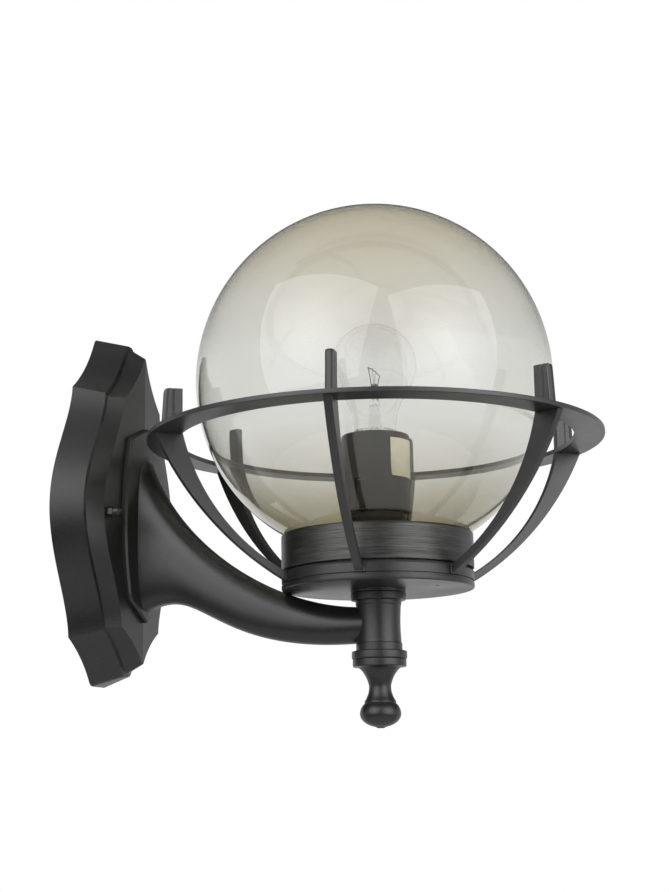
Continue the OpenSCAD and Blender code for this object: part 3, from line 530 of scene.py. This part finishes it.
def arm_section(top, low, half_width, squareness):
    """An oval between the upper and the lower line, squarer near the foot."""
    middle, half = (top + low) / 2, (top - low) / 2
    section = []
    for c, s in round_steps(72):
        s, c = [math.copysign(abs(v) ** (2 / squareness), v) for v in (s, c)]
        section.append((half_width * s, -(middle.x + half.x * c), middle.y + half.y * c))
    return section


sections = [
    arm_section(
        arm_line(upper, t), arm_line(lower, t),
        trumpet_half + (arm_r - trumpet_half) * math.sqrt(t), 3 - t,
    ) for t in [k / 72 for k in range(73)]
]
end_top, end_low = Vector((reach, arm_z + arm_r)), Vector((reach, arm_z - arm_r))
sections.append(arm_section(end_top, end_low, arm_r, 2))
trumpet = bmesh.new()
capped(trumpet, sections)
joined(arm, object_from("trumpet", trumpet))


def eased(corners, steps=3):
    """A closed outline of (radius, height, easing) with its corners rounded."""
    points = []
    for k, corner in enumerate(corners):
        p, before, after = [Vector(corners[j][:2]) for j in (k, k - 1, (k + 1) % len(corners))]
        soft = corner[2] if len(corner) > 2 else 0
        if not soft:
            points.append(p)
            continue
        a, b = before - p, after - p
        start = p + a.normalized() * min(soft, a.length * 0.48)
        end = p + b.normalized() * min(soft, b.length * 0.48)
        points += [curve(start, p, end, s / steps) for s in range(steps + 1)]
    return points


def turned(name, corners, steps=144, smooth=30):
    """A piece turned about the lamp's axis from a closed outline."""
    form = bmesh.new()
    line = eased(corners)
    skinned(form, [[(p.x * c, p.x * s - reach, p.y) for p in line] for c, s in round_steps(steps)])
    return object_from(name, form, smooth)


column_low, column_top = -109.6, -64.4
bore, column_r, flange_r, flange_h = 5.3, 15.3, 18.9, 5.3
foot_ring, neck_ring = 15.8, 15.7
body_low, body_top = column_low + 11.1, column_top - 8.9
waist = [
    (column_r - 0.5 * math.sin(math.pi * k / 12), body_low + (body_top - body_low) * k / 12)
    for k in range(1, 12)
]
joined(arm, turned("column", [
    (bore, column_low), (flange_r, column_low, 0.9), (flange_r, column_low + flange_h, 0.9),
    (foot_ring, column_low + 5.7, 0.3), (foot_ring, body_low - 0.8, 0.4),
    (column_r, body_low), *waist, (column_r, body_top),
    (neck_ring, body_top + 0.6, 0.4), (neck_ring, column_top - 5.7, 0.3),
    (flange_r, column_top - flange_h, 0.9), (flange_r, column_top, 0.9), (bore, column_top),
]))
drilled(arm, bore, (0, -reach, column_low - 1), (0, -reach, column_top + 1))
drilled(arm, 4.6, (0, -30, cable_z), (0, -62, cable_z))
for z in arm_screw_z:
    drilled(arm, 2.5, (0, -33, z), (0, -43, z))
fitted(arm, black_coat, "black_casting", "fixture", "arm")
kept("arm_screws lamp_tube", zinc_look)

# The finial is turned from the same aluminium and screws onto the threaded tube from
# below. It pulls the column, the disc and the cage together.
finial_low = column_low - 46.3
ball_z = finial_low + 9.6
crease_z = ball_z + 6.9
cove_z = crease_z + 11.2
ball_r, below_ball, above_ball = 14, 9.1, 10.9
neck_r, flare_w, flare_h, cove_w, head_r, shank_r = 7.5, 3.1, 9.6, 8, 18.3, 5
head_low = column_low - 5.3
finial_ball = [
    (ball_r * math.cos(a), ball_z + (below_ball if a < 0 else above_ball) * math.sin(a))
    for a in [math.radians(d) for d in range(-72, 37, 4)]
]
flare = [(neck_r + flare_w * f * f, cove_z - flare_h * f) for f in [1 - k / 16 for k in range(16)]]
cove_rise = head_low - cove_z
cove = [
    (neck_r + cove_w * (1 - math.cos(a) ** (4 / 3)), cove_z + cove_rise * math.sin(a) ** (4 / 3))
    for a in [math.radians(90 * k / 24) for k in range(25)]
]
finial = turned("turned_finial", [
    (0, finial_low), (2.4, finial_low, 0.2), (2.9, finial_low + 0.5), *finial_ball,
    (10.6, crease_z), (10.9, crease_z + 0.7), *flare, *cove,
    (head_r, head_low, 0.8), (head_r, column_low, 0.8),
    (shank_r, column_low), (shank_r, column_low - 18), (0, column_low - 20),
], smooth=38)
fitted(finial, black_coat, "black_casting", "fixture", "finial")

# The disc closes the light from below, and the hub of the cage lies on it as a flat band with
# a groove between them. Both are turned and coated, and a drain hole runs through them.
disc_low, groove_low, hub_low, hub_top = -62.6, -59.1, -57.6, -51.4
drum_r, groove_r, boss_h = 66.2, 65, 1.8
drain_off, drain_way = 46.4, math.radians(256.5)
drain_x, drain_y = drain_off * math.cos(drain_way), drain_off * math.sin(drain_way) - reach
disc = turned("base_disc_turned", [
    (bore, disc_low - boss_h), (flange_r, disc_low - boss_h, 0.5), (flange_r, disc_low, 0.2),
    (drum_r, disc_low, 1.5), (drum_r, groove_low, 0.4), (groove_r, groove_low, 0.2),
    (groove_r, hub_low), (bore, hub_low),
], 192)
hub = turned("cage_hub_band", [
    (bore, hub_low), (drum_r, hub_low, 0.4), (drum_r, hub_top, 0.5), (bore, hub_top),
], 192)
for piece, start_z, end_z in ((disc, disc_low - 3, hub_low + 1), (hub, hub_low - 1, hub_top + 1)):
    drilled(piece, 1.5, (drain_x, drain_y, start_z), (drain_x, drain_y, end_z), 32)
fitted(disc, black_coat, "black_casting", "fixture", "base_disc")
fitted(hub, black_coat, "black_casting", "fixture", "cage_hub")

# The cage is welded from aluminium: six flat ribs rise in an arc from the hub to a flat ring,
# and above the ring each ends in an upright prong with a raised edge. The cage is coated in
# one piece, and it was put together a few degrees out of line with the arm.
ring_out, ring_in, ring_low, ring_top = 158.7, 137.7, 40.1, 43.3
rib_outer_r, rib_inner_r, rib_half, pad_half = 212, 139, 2.75, 4.25
about_lamp = Matrix.Translation((0, -reach, 0))
rib_ways = [math.radians(6.4) + math.tau * k / 6 for k in range(6)]


def arc(start, end, radius, steps):
    """Points on the outward bulging arc between two points given as radius and height."""
    start, end = Vector(start), Vector(end)
    chord = end - start
    normal = Vector((chord.y, -chord.x)).normalized()
    centre = (start + end) / 2 - math.sqrt(radius ** 2 - chord.length_squared / 4) * normal
    first = math.atan2(*(start - centre).yx)
    last = math.atan2(*(end - centre).yx)
    angles = [first + (last - first) * k / steps for k in range(steps + 1)]
    return [centre + radius * Vector((math.cos(a), math.sin(a))) for a in angles]


def placed(form, turn):
    """Turns a form that was made on the lamp's axis and moves it out to that axis."""
    bmesh.ops.transform(form, matrix=about_lamp @ Matrix.Rotation(turn, 4, "Z"), verts=form.verts)


cage_coat = powder_coat("black_cage_coat", 0.1, 0.8, 2.2)
outer_arc = arc((drum_r, hub_low), (ring_out - 2.4, ring_low), rib_outer_r, 48)
inner_arc = arc((drum_r, hub_top), (ring_in, ring_low), rib_inner_r, 48)
blade = [
    [(o.x, -rib_half, o.y), (i.x, -rib_half, i.y), (i.x, rib_half, i.y), (o.x, rib_half, o.y)]
    for o, i in zip(outer_arc, inner_arc)
]
pad_way = pad_half / drum_r
pad_in, pad_out = drum_r - 1, drum_r + 1.4
pad_corners = ((pad_in, -pad_way), (pad_in, pad_way), (pad_out, pad_way), (pad_out, -pad_way))
pad = [
    [(r * math.cos(a), r * math.sin(a), z) for r, a in pad_corners] for z in (hub_low, hub_top)
]
for number, way in enumerate(rib_ways, 1):
    rib = bmesh.new()
    capped(rib, blade)
    capped(rib, pad)
    placed(rib, way)
    fitted(object_from("rib_blade_%d" % number, rib, 30, bevel=0.35), cage_coat,
           "black_casting", "fixture", "cage_rib_%d" % number)

ring = turned("ring_flat", [
    (ring_in, ring_low, 0.4), (ring_out, ring_low, 0.7),
    (ring_out, ring_top, 0.7), (ring_in, ring_top, 0.4),
], 240)
fitted(ring, cage_coat, "black_casting", "fixture", "cage_ring")
prong_h, prong_deep, prong_taper = 27.5, 14.3, 1.8
prongs = bmesh.new()
for way in rib_ways:
    levels = []
    for share, shrink in ((-0.05, 0), (0.9, 0), (0.955, 0.25), (0.985, 0.8), (1, 1.7)):
        out = prong_deep - prong_taper * max(share, 0) - shrink
        # the prong's plan, from its inner to its outer edge, as distance out and half width
        side = [
            (0.2, 2.3), (0.6, rib_half), (6.0, rib_half), (6.4, 1.9), (7.2, 1.9), (7.5, 2.3),
            (out - 2.7, 2.3), (out - 2.4, rib_half), (out - 1.9, rib_half),
            (out - 1.6, 2.1), (out, 1.3),
        ]
        plan = side + [(x, -y) for x, y in side[::-1]]
        levels.append([(ring_in + x, y, ring_top + prong_h * share) for x, y in plan])
    prong = bmesh.new()
    capped(prong, levels)
    placed(prong, way)
    one_prong = bpy.data.meshes.new("prong")
    prong.to_mesh(one_prong)
    prong.free()
    prongs.from_mesh(one_prong)
fitted(object_from("prong_set", prongs, 25, bevel=0.2), cage_coat, "black_casting", "fixture")

# Between the hub and the globe lie a rubber gasket, a pressed steel seat and a rubber ring
# under the globe's neck. A washer and a nut on the tube clamp the stack. The steel is zinc
# plated like the bar.
rubber = Recipe("black_rubber")
grain = rubber.noise(1.2, 3)
kept("hub_gasket neck_seal", rubber.finish(
    Base_Color=rubber.between(rubber.noise(11), (0.014, 0.014, 0.014), (0.03, 0.03, 0.029)),
    Roughness=rubber.swing(grain, 0.55, 0.7), Normal=rubber.bump(grain, 0.03, 0.6),
))
kept("globe_seat tube_washer tube_nut", zinc_look)

# The collar is a spun steel band, brushed and darkened, with a rolled upper edge and three
# tabs inside. It grips the lugs of the globe and comes free with an eighth of a turn.
collar_low, collar_top, collar_floor = -49.1, -24.3, 1.5
collar_in, floor_in, tab_in = 63.6, 59.8, 64.5
brushed = Recipe("brushed_dark_metal")
lines = brushed.noise(1.6, 3, 0.7, (0.02, 0.02, 2.2))
hairs = brushed.noise(0.7, 2, 0.6, (0.05, 0.05, 3))
around = brushed.noise(26, 2, 0.5, (1, 1, 0.25))
bright_lines = brushed.ramp(lines * 0.5 + hairs * 0.5, 0.35, 0.7)
brushed_look = brushed.finish(
    Base_Color=brushed.between(bright_lines, (0.01, 0.01, 0.011), (0.09, 0.088, 0.085)),
    Metallic=0.7, Roughness=brushed.swing(hairs * 0.6 + around * 0.4, 0.3, 0.46),
    Normal=brushed.bump(lines, 0.05, 0.5),
)
collar = turned("spun_collar", [
    (floor_in, collar_low), (drum_r, collar_low, 0.7), (drum_r, collar_top, 1.8),
    (collar_in, collar_top, 0.4), (collar_in, collar_low + collar_floor, 0.3),
    (floor_in, collar_low + collar_floor),
], 240)


def sector(r_in, r_out, low, top, centre, width):
    """A block of a ring between two radii, centred on an angle in degrees."""
    form = bmesh.new()
    angles = [math.radians(centre - width / 2 + width * k / 16) for k in range(17)]
    corners = ((r_in, low), (r_out, low), (r_out, top), (r_in, top))
    capped(form, [
        [(r * math.cos(a), r * math.sin(a) - reach, z) for r, z in corners] for a in angles
    ])
    return object_from("block", form)


neck, neck_low = 60.3, -43.4
lug_low, lug_top = neck_low + 0.5, neck_low + 3
thirds, eighth = (0, 120, 240), 45
for third in thirds:
    joined(collar, sector(neck + 0.4, tab_in, lug_top + 0.4, lug_top + 3.4, third - eighth, 36))
fitted(collar, brushed_look, "collar_metal", "collar", "collar")

# The globe is blown smoky plastic with a 2.5 mm wall and an open neck with three lugs. The
# smoke is warm. Painted shade makes its colour darker and warmer at the crown and a patchy khaki
# low down.


def clear_stuff(stuff, index, lamp_tint, colour=(1, 1, 1, 1), smoke_tint=None, density=0):
    """Glass or clear plastic; lamps shine through it in a tint and cast no hard shadow."""
    seen_surface = stuff.node("BsdfPrincipled", None, {
        "Base Color": colour, "Roughness": 0.0, "IOR": index, "Transmission Weight": 1.0,
    })
    tinted_shadow = stuff.node("BsdfTransparent", None, {"Color": (*lamp_tint, 1)})
    in_shadow = stuff.node("LightPath", out="Is Shadow Ray")
    surface = stuff.node("MixShader", None, {0: in_shadow, 1: seen_surface, 2: tinted_shadow})
    layers = {"Surface": surface}
    if density:
        inside = {"Color": (*smoke_tint, 1), "Density": density}
        layers["Volume"] = stuff.node("VolumeAbsorption", None, inside)
    stuff.node("OutputMaterial", None, layers)
    return stuff.made


smoke = Recipe("smoky_plastic")
smoke_height = smoke.height(smoke.place())
# Painted shade: the khaki lower part stands for the dark surroundings seen through the lower wall,
# and the darker, warmer crown stands for the dark room that it reflects.
below = smoke.ramp(smoke_height, 0.035, -0.03)
above = smoke.ramp(smoke_height, 0.13, 0.205)
shade_patches = smoke.noise(60, 3, 0.6)
painted_low_shade = smoke.between(below * (shade_patches * 0.4 + 0.75), (1, 1, 1), (0.48, 0.44, 0.31))
smoke_look = clear_stuff(
    smoke, 1.49, (0.84, 0.83, 0.78), colour=smoke.between(above, painted_low_shade, (0.86, 0.81, 0.68)),
    smoke_tint=(0.45, 0.45, 0.37), density=120,
)
globe_z, globe_r, globe_wall = 83.6, 125, 2.5


def bowl(radius, neck_radius, steps=96):
    """The ball's line from the neck up to the top."""
    first = -math.acos(neck_radius / radius)
    angles = [first + (math.pi / 2 - first) * k / steps for k in range(steps)]
    return [(radius * math.cos(a), globe_z + radius * math.sin(a)) for a in angles]


def neck_bend(radius, height):
    """The soft turn from the neck into the ball."""
    return [(radius, height - 3.5), (radius + 0.15, height - 2), (radius + 0.5, height - 0.8)]


ball_line = bowl(globe_r, neck + 1.1)
inner_line = bowl(globe_r - globe_wall, neck - globe_wall + 1.1)
globe = turned("blown_globe", [
    (neck - globe_wall, neck_low, 0.5), (neck, neck_low, 0.5),
    *neck_bend(neck, ball_line[0][1]), *ball_line,
    (0, globe_z + globe_r), (0, globe_z + globe_r - globe_wall),
    *inner_line[::-1], *neck_bend(neck - globe_wall, inner_line[0][1])[::-1],
], 192, 60)
fitted(globe, smoke_look, "smoky_plastic", "globe", "globe")
lugs = bmesh.new()
for third in thirds:
    block = sector(neck + 0.01, neck + 2.9, lug_low, lug_top, third, 24)
    block.data.transform(Matrix.Scale(1 / mm, 4))
    lugs.from_mesh(block.data)
    bpy.data.objects.remove(block)
fitted(object_from("globe_lugs", lugs, 30, bevel=0.3), smoke_look, "smoky_plastic", "globe")

# The lampholder is moulded from black thermosetting plastic in two halves: a body that
# screws onto the tube, and a sleeve with a sprung latch in a window. A blank paper label
# is stuck round the sleeve, and one of its corners has come loose.
holder_low = -45.2 + 1.2 + 6
sleeve_low, sleeve_top = holder_low + 28.2, holder_low + 83.4
body_r, sleeve_r, moulded_wall = 20.75, 23.75, 1.4
moulded = Recipe("black_moulding")
skin = moulded.noise(0.8, 2)
scuffs = moulded.noise(6, 5, 0.7, (1, 1, 0.3))
moulded_look = moulded.finish(
    Base_Color=moulded.between(scuffs, (0.01, 0.0097, 0.009), (0.026, 0.025, 0.023)),
    Roughness=moulded.swing(scuffs, 0.32, 0.5), Normal=moulded.bump(skin, 0.03, 0.5),
)
holder_body = turned("holder_lower_half", [
    (5, holder_low), (body_r, holder_low, 1.2), (body_r, sleeve_low - 0.6, 0.4),
    (18.75, sleeve_low - 0.01), (18.75, holder_low + 8, 1),
    (9, holder_low + 8), (8, holder_low + 11), (5, holder_low + 11),
], 96)
fitted(holder_body, moulded_look, "black_plastic", "fixture", "holder_body")
sleeve = turned("holder_sleeve_moulding", [
    (20.85, sleeve_low), (sleeve_r, sleeve_low, 0.7),
    (sleeve_r, sleeve_top, 1.6), (19.15, sleeve_top, 0.4),
    (19.15, sleeve_top - moulded_wall), (21.95, sleeve_top - moulded_wall),
    (21.95, sleeve_low + 1.2), (20.85, sleeve_low + 1.2),
], 128)
latch_way = math.radians(172)
window = bmesh.new()
bmesh.ops.create_cube(window, size=1, matrix=Matrix.Diagonal((5, 9.5, 21.4, 1)))
bmesh.ops.translate(window, vec=(23.5, 0, sleeve_low + 11.5), verts=window.verts)
placed(window, latch_way)
joined(sleeve, object_from("window", window), "DIFFERENCE")
fitted(sleeve, moulded_look, "black_plastic", "fixture", "holder_sleeve")
latch_half, latch_r, latch_low = 4.35, 23, sleeve_low + 1.2
latch_plan = [
    (21.9, 0.3), (23.0, 0.3), (23.2, 1.4), (22.9, 3),
    (22.9, 17), (23.2, 19), (23.2, 20.2), (21.9, 20.2),
]
latch = bmesh.new()
capped(latch, [
    [(r * math.cos(a), r * math.sin(a), latch_low + h) for r, h in latch_plan]
    for a in [(-latch_half + 2 * latch_half * k / 10) / latch_r for k in range(11)]
])
placed(latch, latch_way)
fitted(object_from("holder_latch_tongue", latch, 30, bevel=0.2), moulded_look,
       "black_plastic", "fixture", "holder_latch")

label = Recipe("label_paper")
fibres = label.noise(1.6, 4, 0.7)
stain = label.noise(12, 3)
label_look = label.finish(
    Base_Color=label.between(label.ramp(stain, 0.35, 0.75), (0.94, 0.91, 0.8), (0.8, 0.76, 0.62)),
    Roughness=label.swing(fibres, 0.5, 0.65), Normal=label.bump(fibres, 0.03, 0.5),
)
label_start, label_sweep, label_low, label_h = 223, 58, sleeve_top - 31.5, 26.5
across_steps, up_steps = 40, 24
sheet = bmesh.new()
back_face, front_face = [], []
for side, lift in ((back_face, 0.02), (front_face, 0.25)):
    for row in range(up_steps + 1):
        line = []
        for k in range(across_steps + 1):
            across, up = k / across_steps, row / up_steps
            loose = max(0, 1 - math.hypot(across / 0.2, up / 0.3))
            radius = sleeve_r + lift + 1.6 * loose ** 1.7
            a = math.radians(label_start + label_sweep * across)
            line.append(sheet.verts.new((
                radius * math.cos(a), radius * math.sin(a) - reach, label_low + label_h * up,
            )))
        side.append(line)
for side in (back_face, front_face):
    for one, two in zip(side, side[1:]):
        for k in range(across_steps):
            sheet.faces.new((one[k], one[k + 1], two[k + 1], two[k]))
for k in range(across_steps):
    for row in (0, up_steps):
        back, face = back_face[row], front_face[row]
        sheet.faces.new((back[k], back[k + 1], face[k + 1], face[k]))
for row in range(up_steps):
    for k in (0, across_steps):
        back, back_up = back_face[row][k], back_face[row + 1][k]
        face, face_up = front_face[row][k], front_face[row + 1][k]
        sheet.faces.new((back, back_up, face_up, face))
fitted(object_from("blank_label", sheet, 50), label_look, "label", "fixture", "holder_label")

# Inside the sleeve sits a glazed porcelain insert that carries a brass thread shell and a
# brass contact. Two wires, one in a brown jacket and one in a blue one, run from the terminal
# block through the arm and up the tube to them.
china = Recipe("glazed_porcelain")
glaze = china.noise(8, 3)
pits = china.ramp(china.noise(1.1, 1), 0.72, 0.8)
kept("holder_insert", china.finish(
    Base_Color=china.between(pits * 0.4, (0.8, 0.77, 0.7), (0.45, 0.4, 0.33)),
    Roughness=china.swing(glaze, 0.14, 0.28), Normal=china.bump(glaze, 0.05, 0.3),
    Coat_Weight=china.swing(glaze, 0.3, 0.6),
))
kept("holder_shell holder_contact", brass_look)
for wire, colour, pale, deep in (
    ("wire_live", "brown", (0.17, 0.07, 0.03), (0.11, 0.045, 0.02)),
    ("wire_neutral", "blue", (0.03, 0.13, 0.42), (0.02, 0.08, 0.3)),
):
    jacket = Recipe(colour + "_wire_jacket")
    kept(wire, jacket.finish(
        Base_Color=jacket.between(jacket.noise(6), deep, pale),
        Roughness=jacket.swing(jacket.noise(2), 0.35, 0.5),
        Normal=jacket.bump(jacket.noise(0.6), 0.02, 0.4),
    ))

# The bulb is a clear round lamp with a nickel plated screw cap: a thin blown ball, a black
# glass insulator with a solder contact, a pressed glass stem, and a coiled filament that
# hangs between two leads and over two props.
bulb_low = sleeve_top - 24.4
bulb_top, bulb_r, glass_wall = bulb_low + 105, 30, 0.6
glass_low, bulb_z = bulb_low + 26.8, bulb_top - bulb_r
bulb_look = clear_stuff(Recipe("bulb_glass"), 1.5, (0.96, 0.96, 0.96))


def glass_line(inset):
    """The bulb's line from inside the cap, along the flare and round the ball."""
    ball_r, low_r = bulb_r - inset, 14.75 - inset
    first = math.radians(-38)
    meet = Vector((ball_r * math.cos(first), bulb_z + ball_r * math.sin(first)))
    foot, pull = Vector((low_r, glass_low + 3)), Vector((low_r + 1.2, glass_low + 18))
    in_cap = [
        (12.4 - inset, glass_low - 4.6), (12.4 - inset, glass_low - 3.2),
        (low_r - 0.5, glass_low - 0.9),
    ]
    flare = [tuple(curve(foot, pull, meet, k / 20)) for k in range(20)]
    angles = [first + (math.pi / 2 - first) * k / 40 for k in range(40)]
    return in_cap + flare + [(ball_r * math.cos(a), bulb_z + ball_r * math.sin(a)) for a in angles]


bulb = turned("bulb_ball", [
    *glass_line(0), (0, bulb_top), (0, bulb_top - glass_wall), *glass_line(glass_wall)[::-1],
], 96, 60)
fitted(bulb, bulb_look, "bulb_glass", "bulb", "bulb_glass")
stem_top, stem_wall = bulb_low + 62, 0.8
stem_foot = [(11.9, -4.6), (10.4, -3.9), (7.4, -2), (5.6, 1), (4.7, 5), (4.3, 10)]
stem = turned("pressed_stem", [
    *[(r, glass_low + h) for r, h in stem_foot],
    (3.8, stem_top - 16), (3.4, stem_top - 12), (1.7, stem_top - 8), (1.3, stem_top - 2),
    (2.4, stem_top - 1.2, 0.4), (2.4, stem_top, 0.4), (0, stem_top),
    (0, stem_top - 14), (2.9, stem_top - 16),
    *[(r - stem_wall, glass_low + h - 0.5) for r, h in stem_foot[::-1]],
], 64, 50)
fitted(stem, bulb_look, "bulb_glass", "bulb", "bulb_stem")

nickel = Recipe("nickel_cap")
worn = nickel.noise(3, 3)
nickel_look = nickel.finish(
    Base_Color=nickel.between(worn, (0.56, 0.54, 0.5), (0.7, 0.69, 0.66)), Metallic=1.0,
    Roughness=nickel.swing(worn, 0.18, 0.36), Normal=nickel.bump(worn, 0.02, 0.4),
)
cap_low, cap_steps, thread_rows, run_out = bulb_low + 3.4, 96, 72, 8
thread_r, thread_deep, thread_pitch = 13.15, 1.0, 3.63
thread_low, thread_h = cap_low + 3, glass_low - 3 - cap_low - 3


def cap_row(radii, h):
    return [(r * c, r * s - reach, h) for r, (c, s) in zip(radii, round_steps(cap_steps))]


def plain_rows(*corners):
    return [cap_row([radius] * cap_steps, h) for radius, h in corners]


cap_rows = plain_rows((9, cap_low), (11.95, cap_low + 1.2))
for k in range(thread_rows + 1):
    h = thread_low + thread_h * k / thread_rows
    fade = min(1, k / run_out, (thread_rows - k) / run_out)
    turns_up = [(h - cap_low) / thread_pitch - s / cap_steps for s in range(cap_steps)]
    waves = [0.5 - 0.5 * math.cos(math.tau * turn) for turn in turns_up]
    radii = [thread_r - thread_deep * (1 - wave) ** 1.3 * fade for wave in waves]
    cap_rows.append(cap_row(radii, h))
cap_rows += plain_rows(
    (15.15, glass_low - 1.2), (15.15, glass_low + 1),
    (14.85, glass_low + 1), (14.85, glass_low - 1),
    (12.7, glass_low - 3), (11.9, glass_low - 4), (11.9, cap_low + 3.2), (9, cap_low + 0.6),
)
cap = bmesh.new()
skinned(cap, cap_rows)
fitted(object_from("threaded_cap", cap, 40), nickel_look, "bulb_cap", "bulb", "bulb_cap")

vitrite = Recipe("black_glass_insulator")
kept("bulb_insulator", vitrite.finish(
    Base_Color=vitrite.between(vitrite.noise(3), (0.008, 0.008, 0.012), (0.02, 0.02, 0.03)),
    Roughness=vitrite.swing(vitrite.noise(2), 0.1, 0.2),
    Normal=vitrite.bump(vitrite.noise(2.5), 0.1, 0.3),
))
tin = Recipe("solder")
kept("bulb_contact", tin.finish(
    Base_Color=tin.between(tin.noise(1.5), (0.5, 0.5, 0.48), (0.68, 0.68, 0.66)), Metallic=1.0,
    Roughness=tin.swing(tin.noise(1), 0.3, 0.5), Normal=tin.bump(tin.noise(1.2), 0.1, 0.5),
))

tungsten = Recipe("tungsten_and_leads")
tungsten_look = tungsten.finish(
    Base_Color=tungsten.between(tungsten.noise(0.8), (0.2, 0.2, 0.2), (0.34, 0.33, 0.32)),
    Metallic=1.0, Roughness=tungsten.swing(tungsten.noise(0.6), 0.3, 0.5),
)


def wire_line(form, points, radius, sides=8):
    """A round wire through points, closed at both ends."""
    points = [Vector(p) for p in points]
    rings = []
    for k, p in enumerate(points):
        ahead = (points[min(k + 1, len(points) - 1)] - points[max(k - 1, 0)]).normalized()
        a = ahead.cross(Vector((0, 1, 0.01))).normalized()
        b = ahead.cross(a)
        rings.append([tuple(p + radius * (a * c + b * s)) for c, s in round_steps(sides)])
    capped(form, rings)


hang_z = stem_top + 9
prop_x, prop_z, lead_x = 4.5, hang_z + 1, 13.9
lead_line = ((2.6, stem_top - 12), (6, stem_top - 4), (10.8, hang_z - 4), (lead_x, hang_z))
prop_line = ((0.8, stem_top - 0.4), (2.4, hang_z - 4), (prop_x, prop_z))
filament = bmesh.new()
for side in (-1, 1):
    wire_line(filament, [(side * x, -reach, z) for x, z in lead_line], 0.33)
    wire_line(filament, [(side * x, -reach, z) for x, z in prop_line], 0.16, 6)
coil_r, coil_pitch, coil_sag, coil_wire = 0.28, 0.55, 0.64, 0.09
stations = [(-lead_x, hang_z), (-prop_x, prop_z), (prop_x, prop_z), (lead_x, hang_z)]
coil = []
for (x0, z0), (x1, z1) in zip(stations, stations[1:]):
    steps = int(abs(x1 - x0) / coil_pitch) * 8
    for k in range(steps):
        f, a = k / steps, math.tau * k / 8
        sag = -coil_sag * 4 * f * (1 - f)
        coil.append((
            x0 + (x1 - x0) * f, coil_r * math.cos(a) - reach,
            z0 + (z1 - z0) * f + sag + coil_r * math.sin(a),
        ))
wire_line(filament, coil, coil_wire, 5)
fitted(object_from("filament_coil", filament, 60), tungsten_look,
       "filament", "bulb", "bulb_filament")
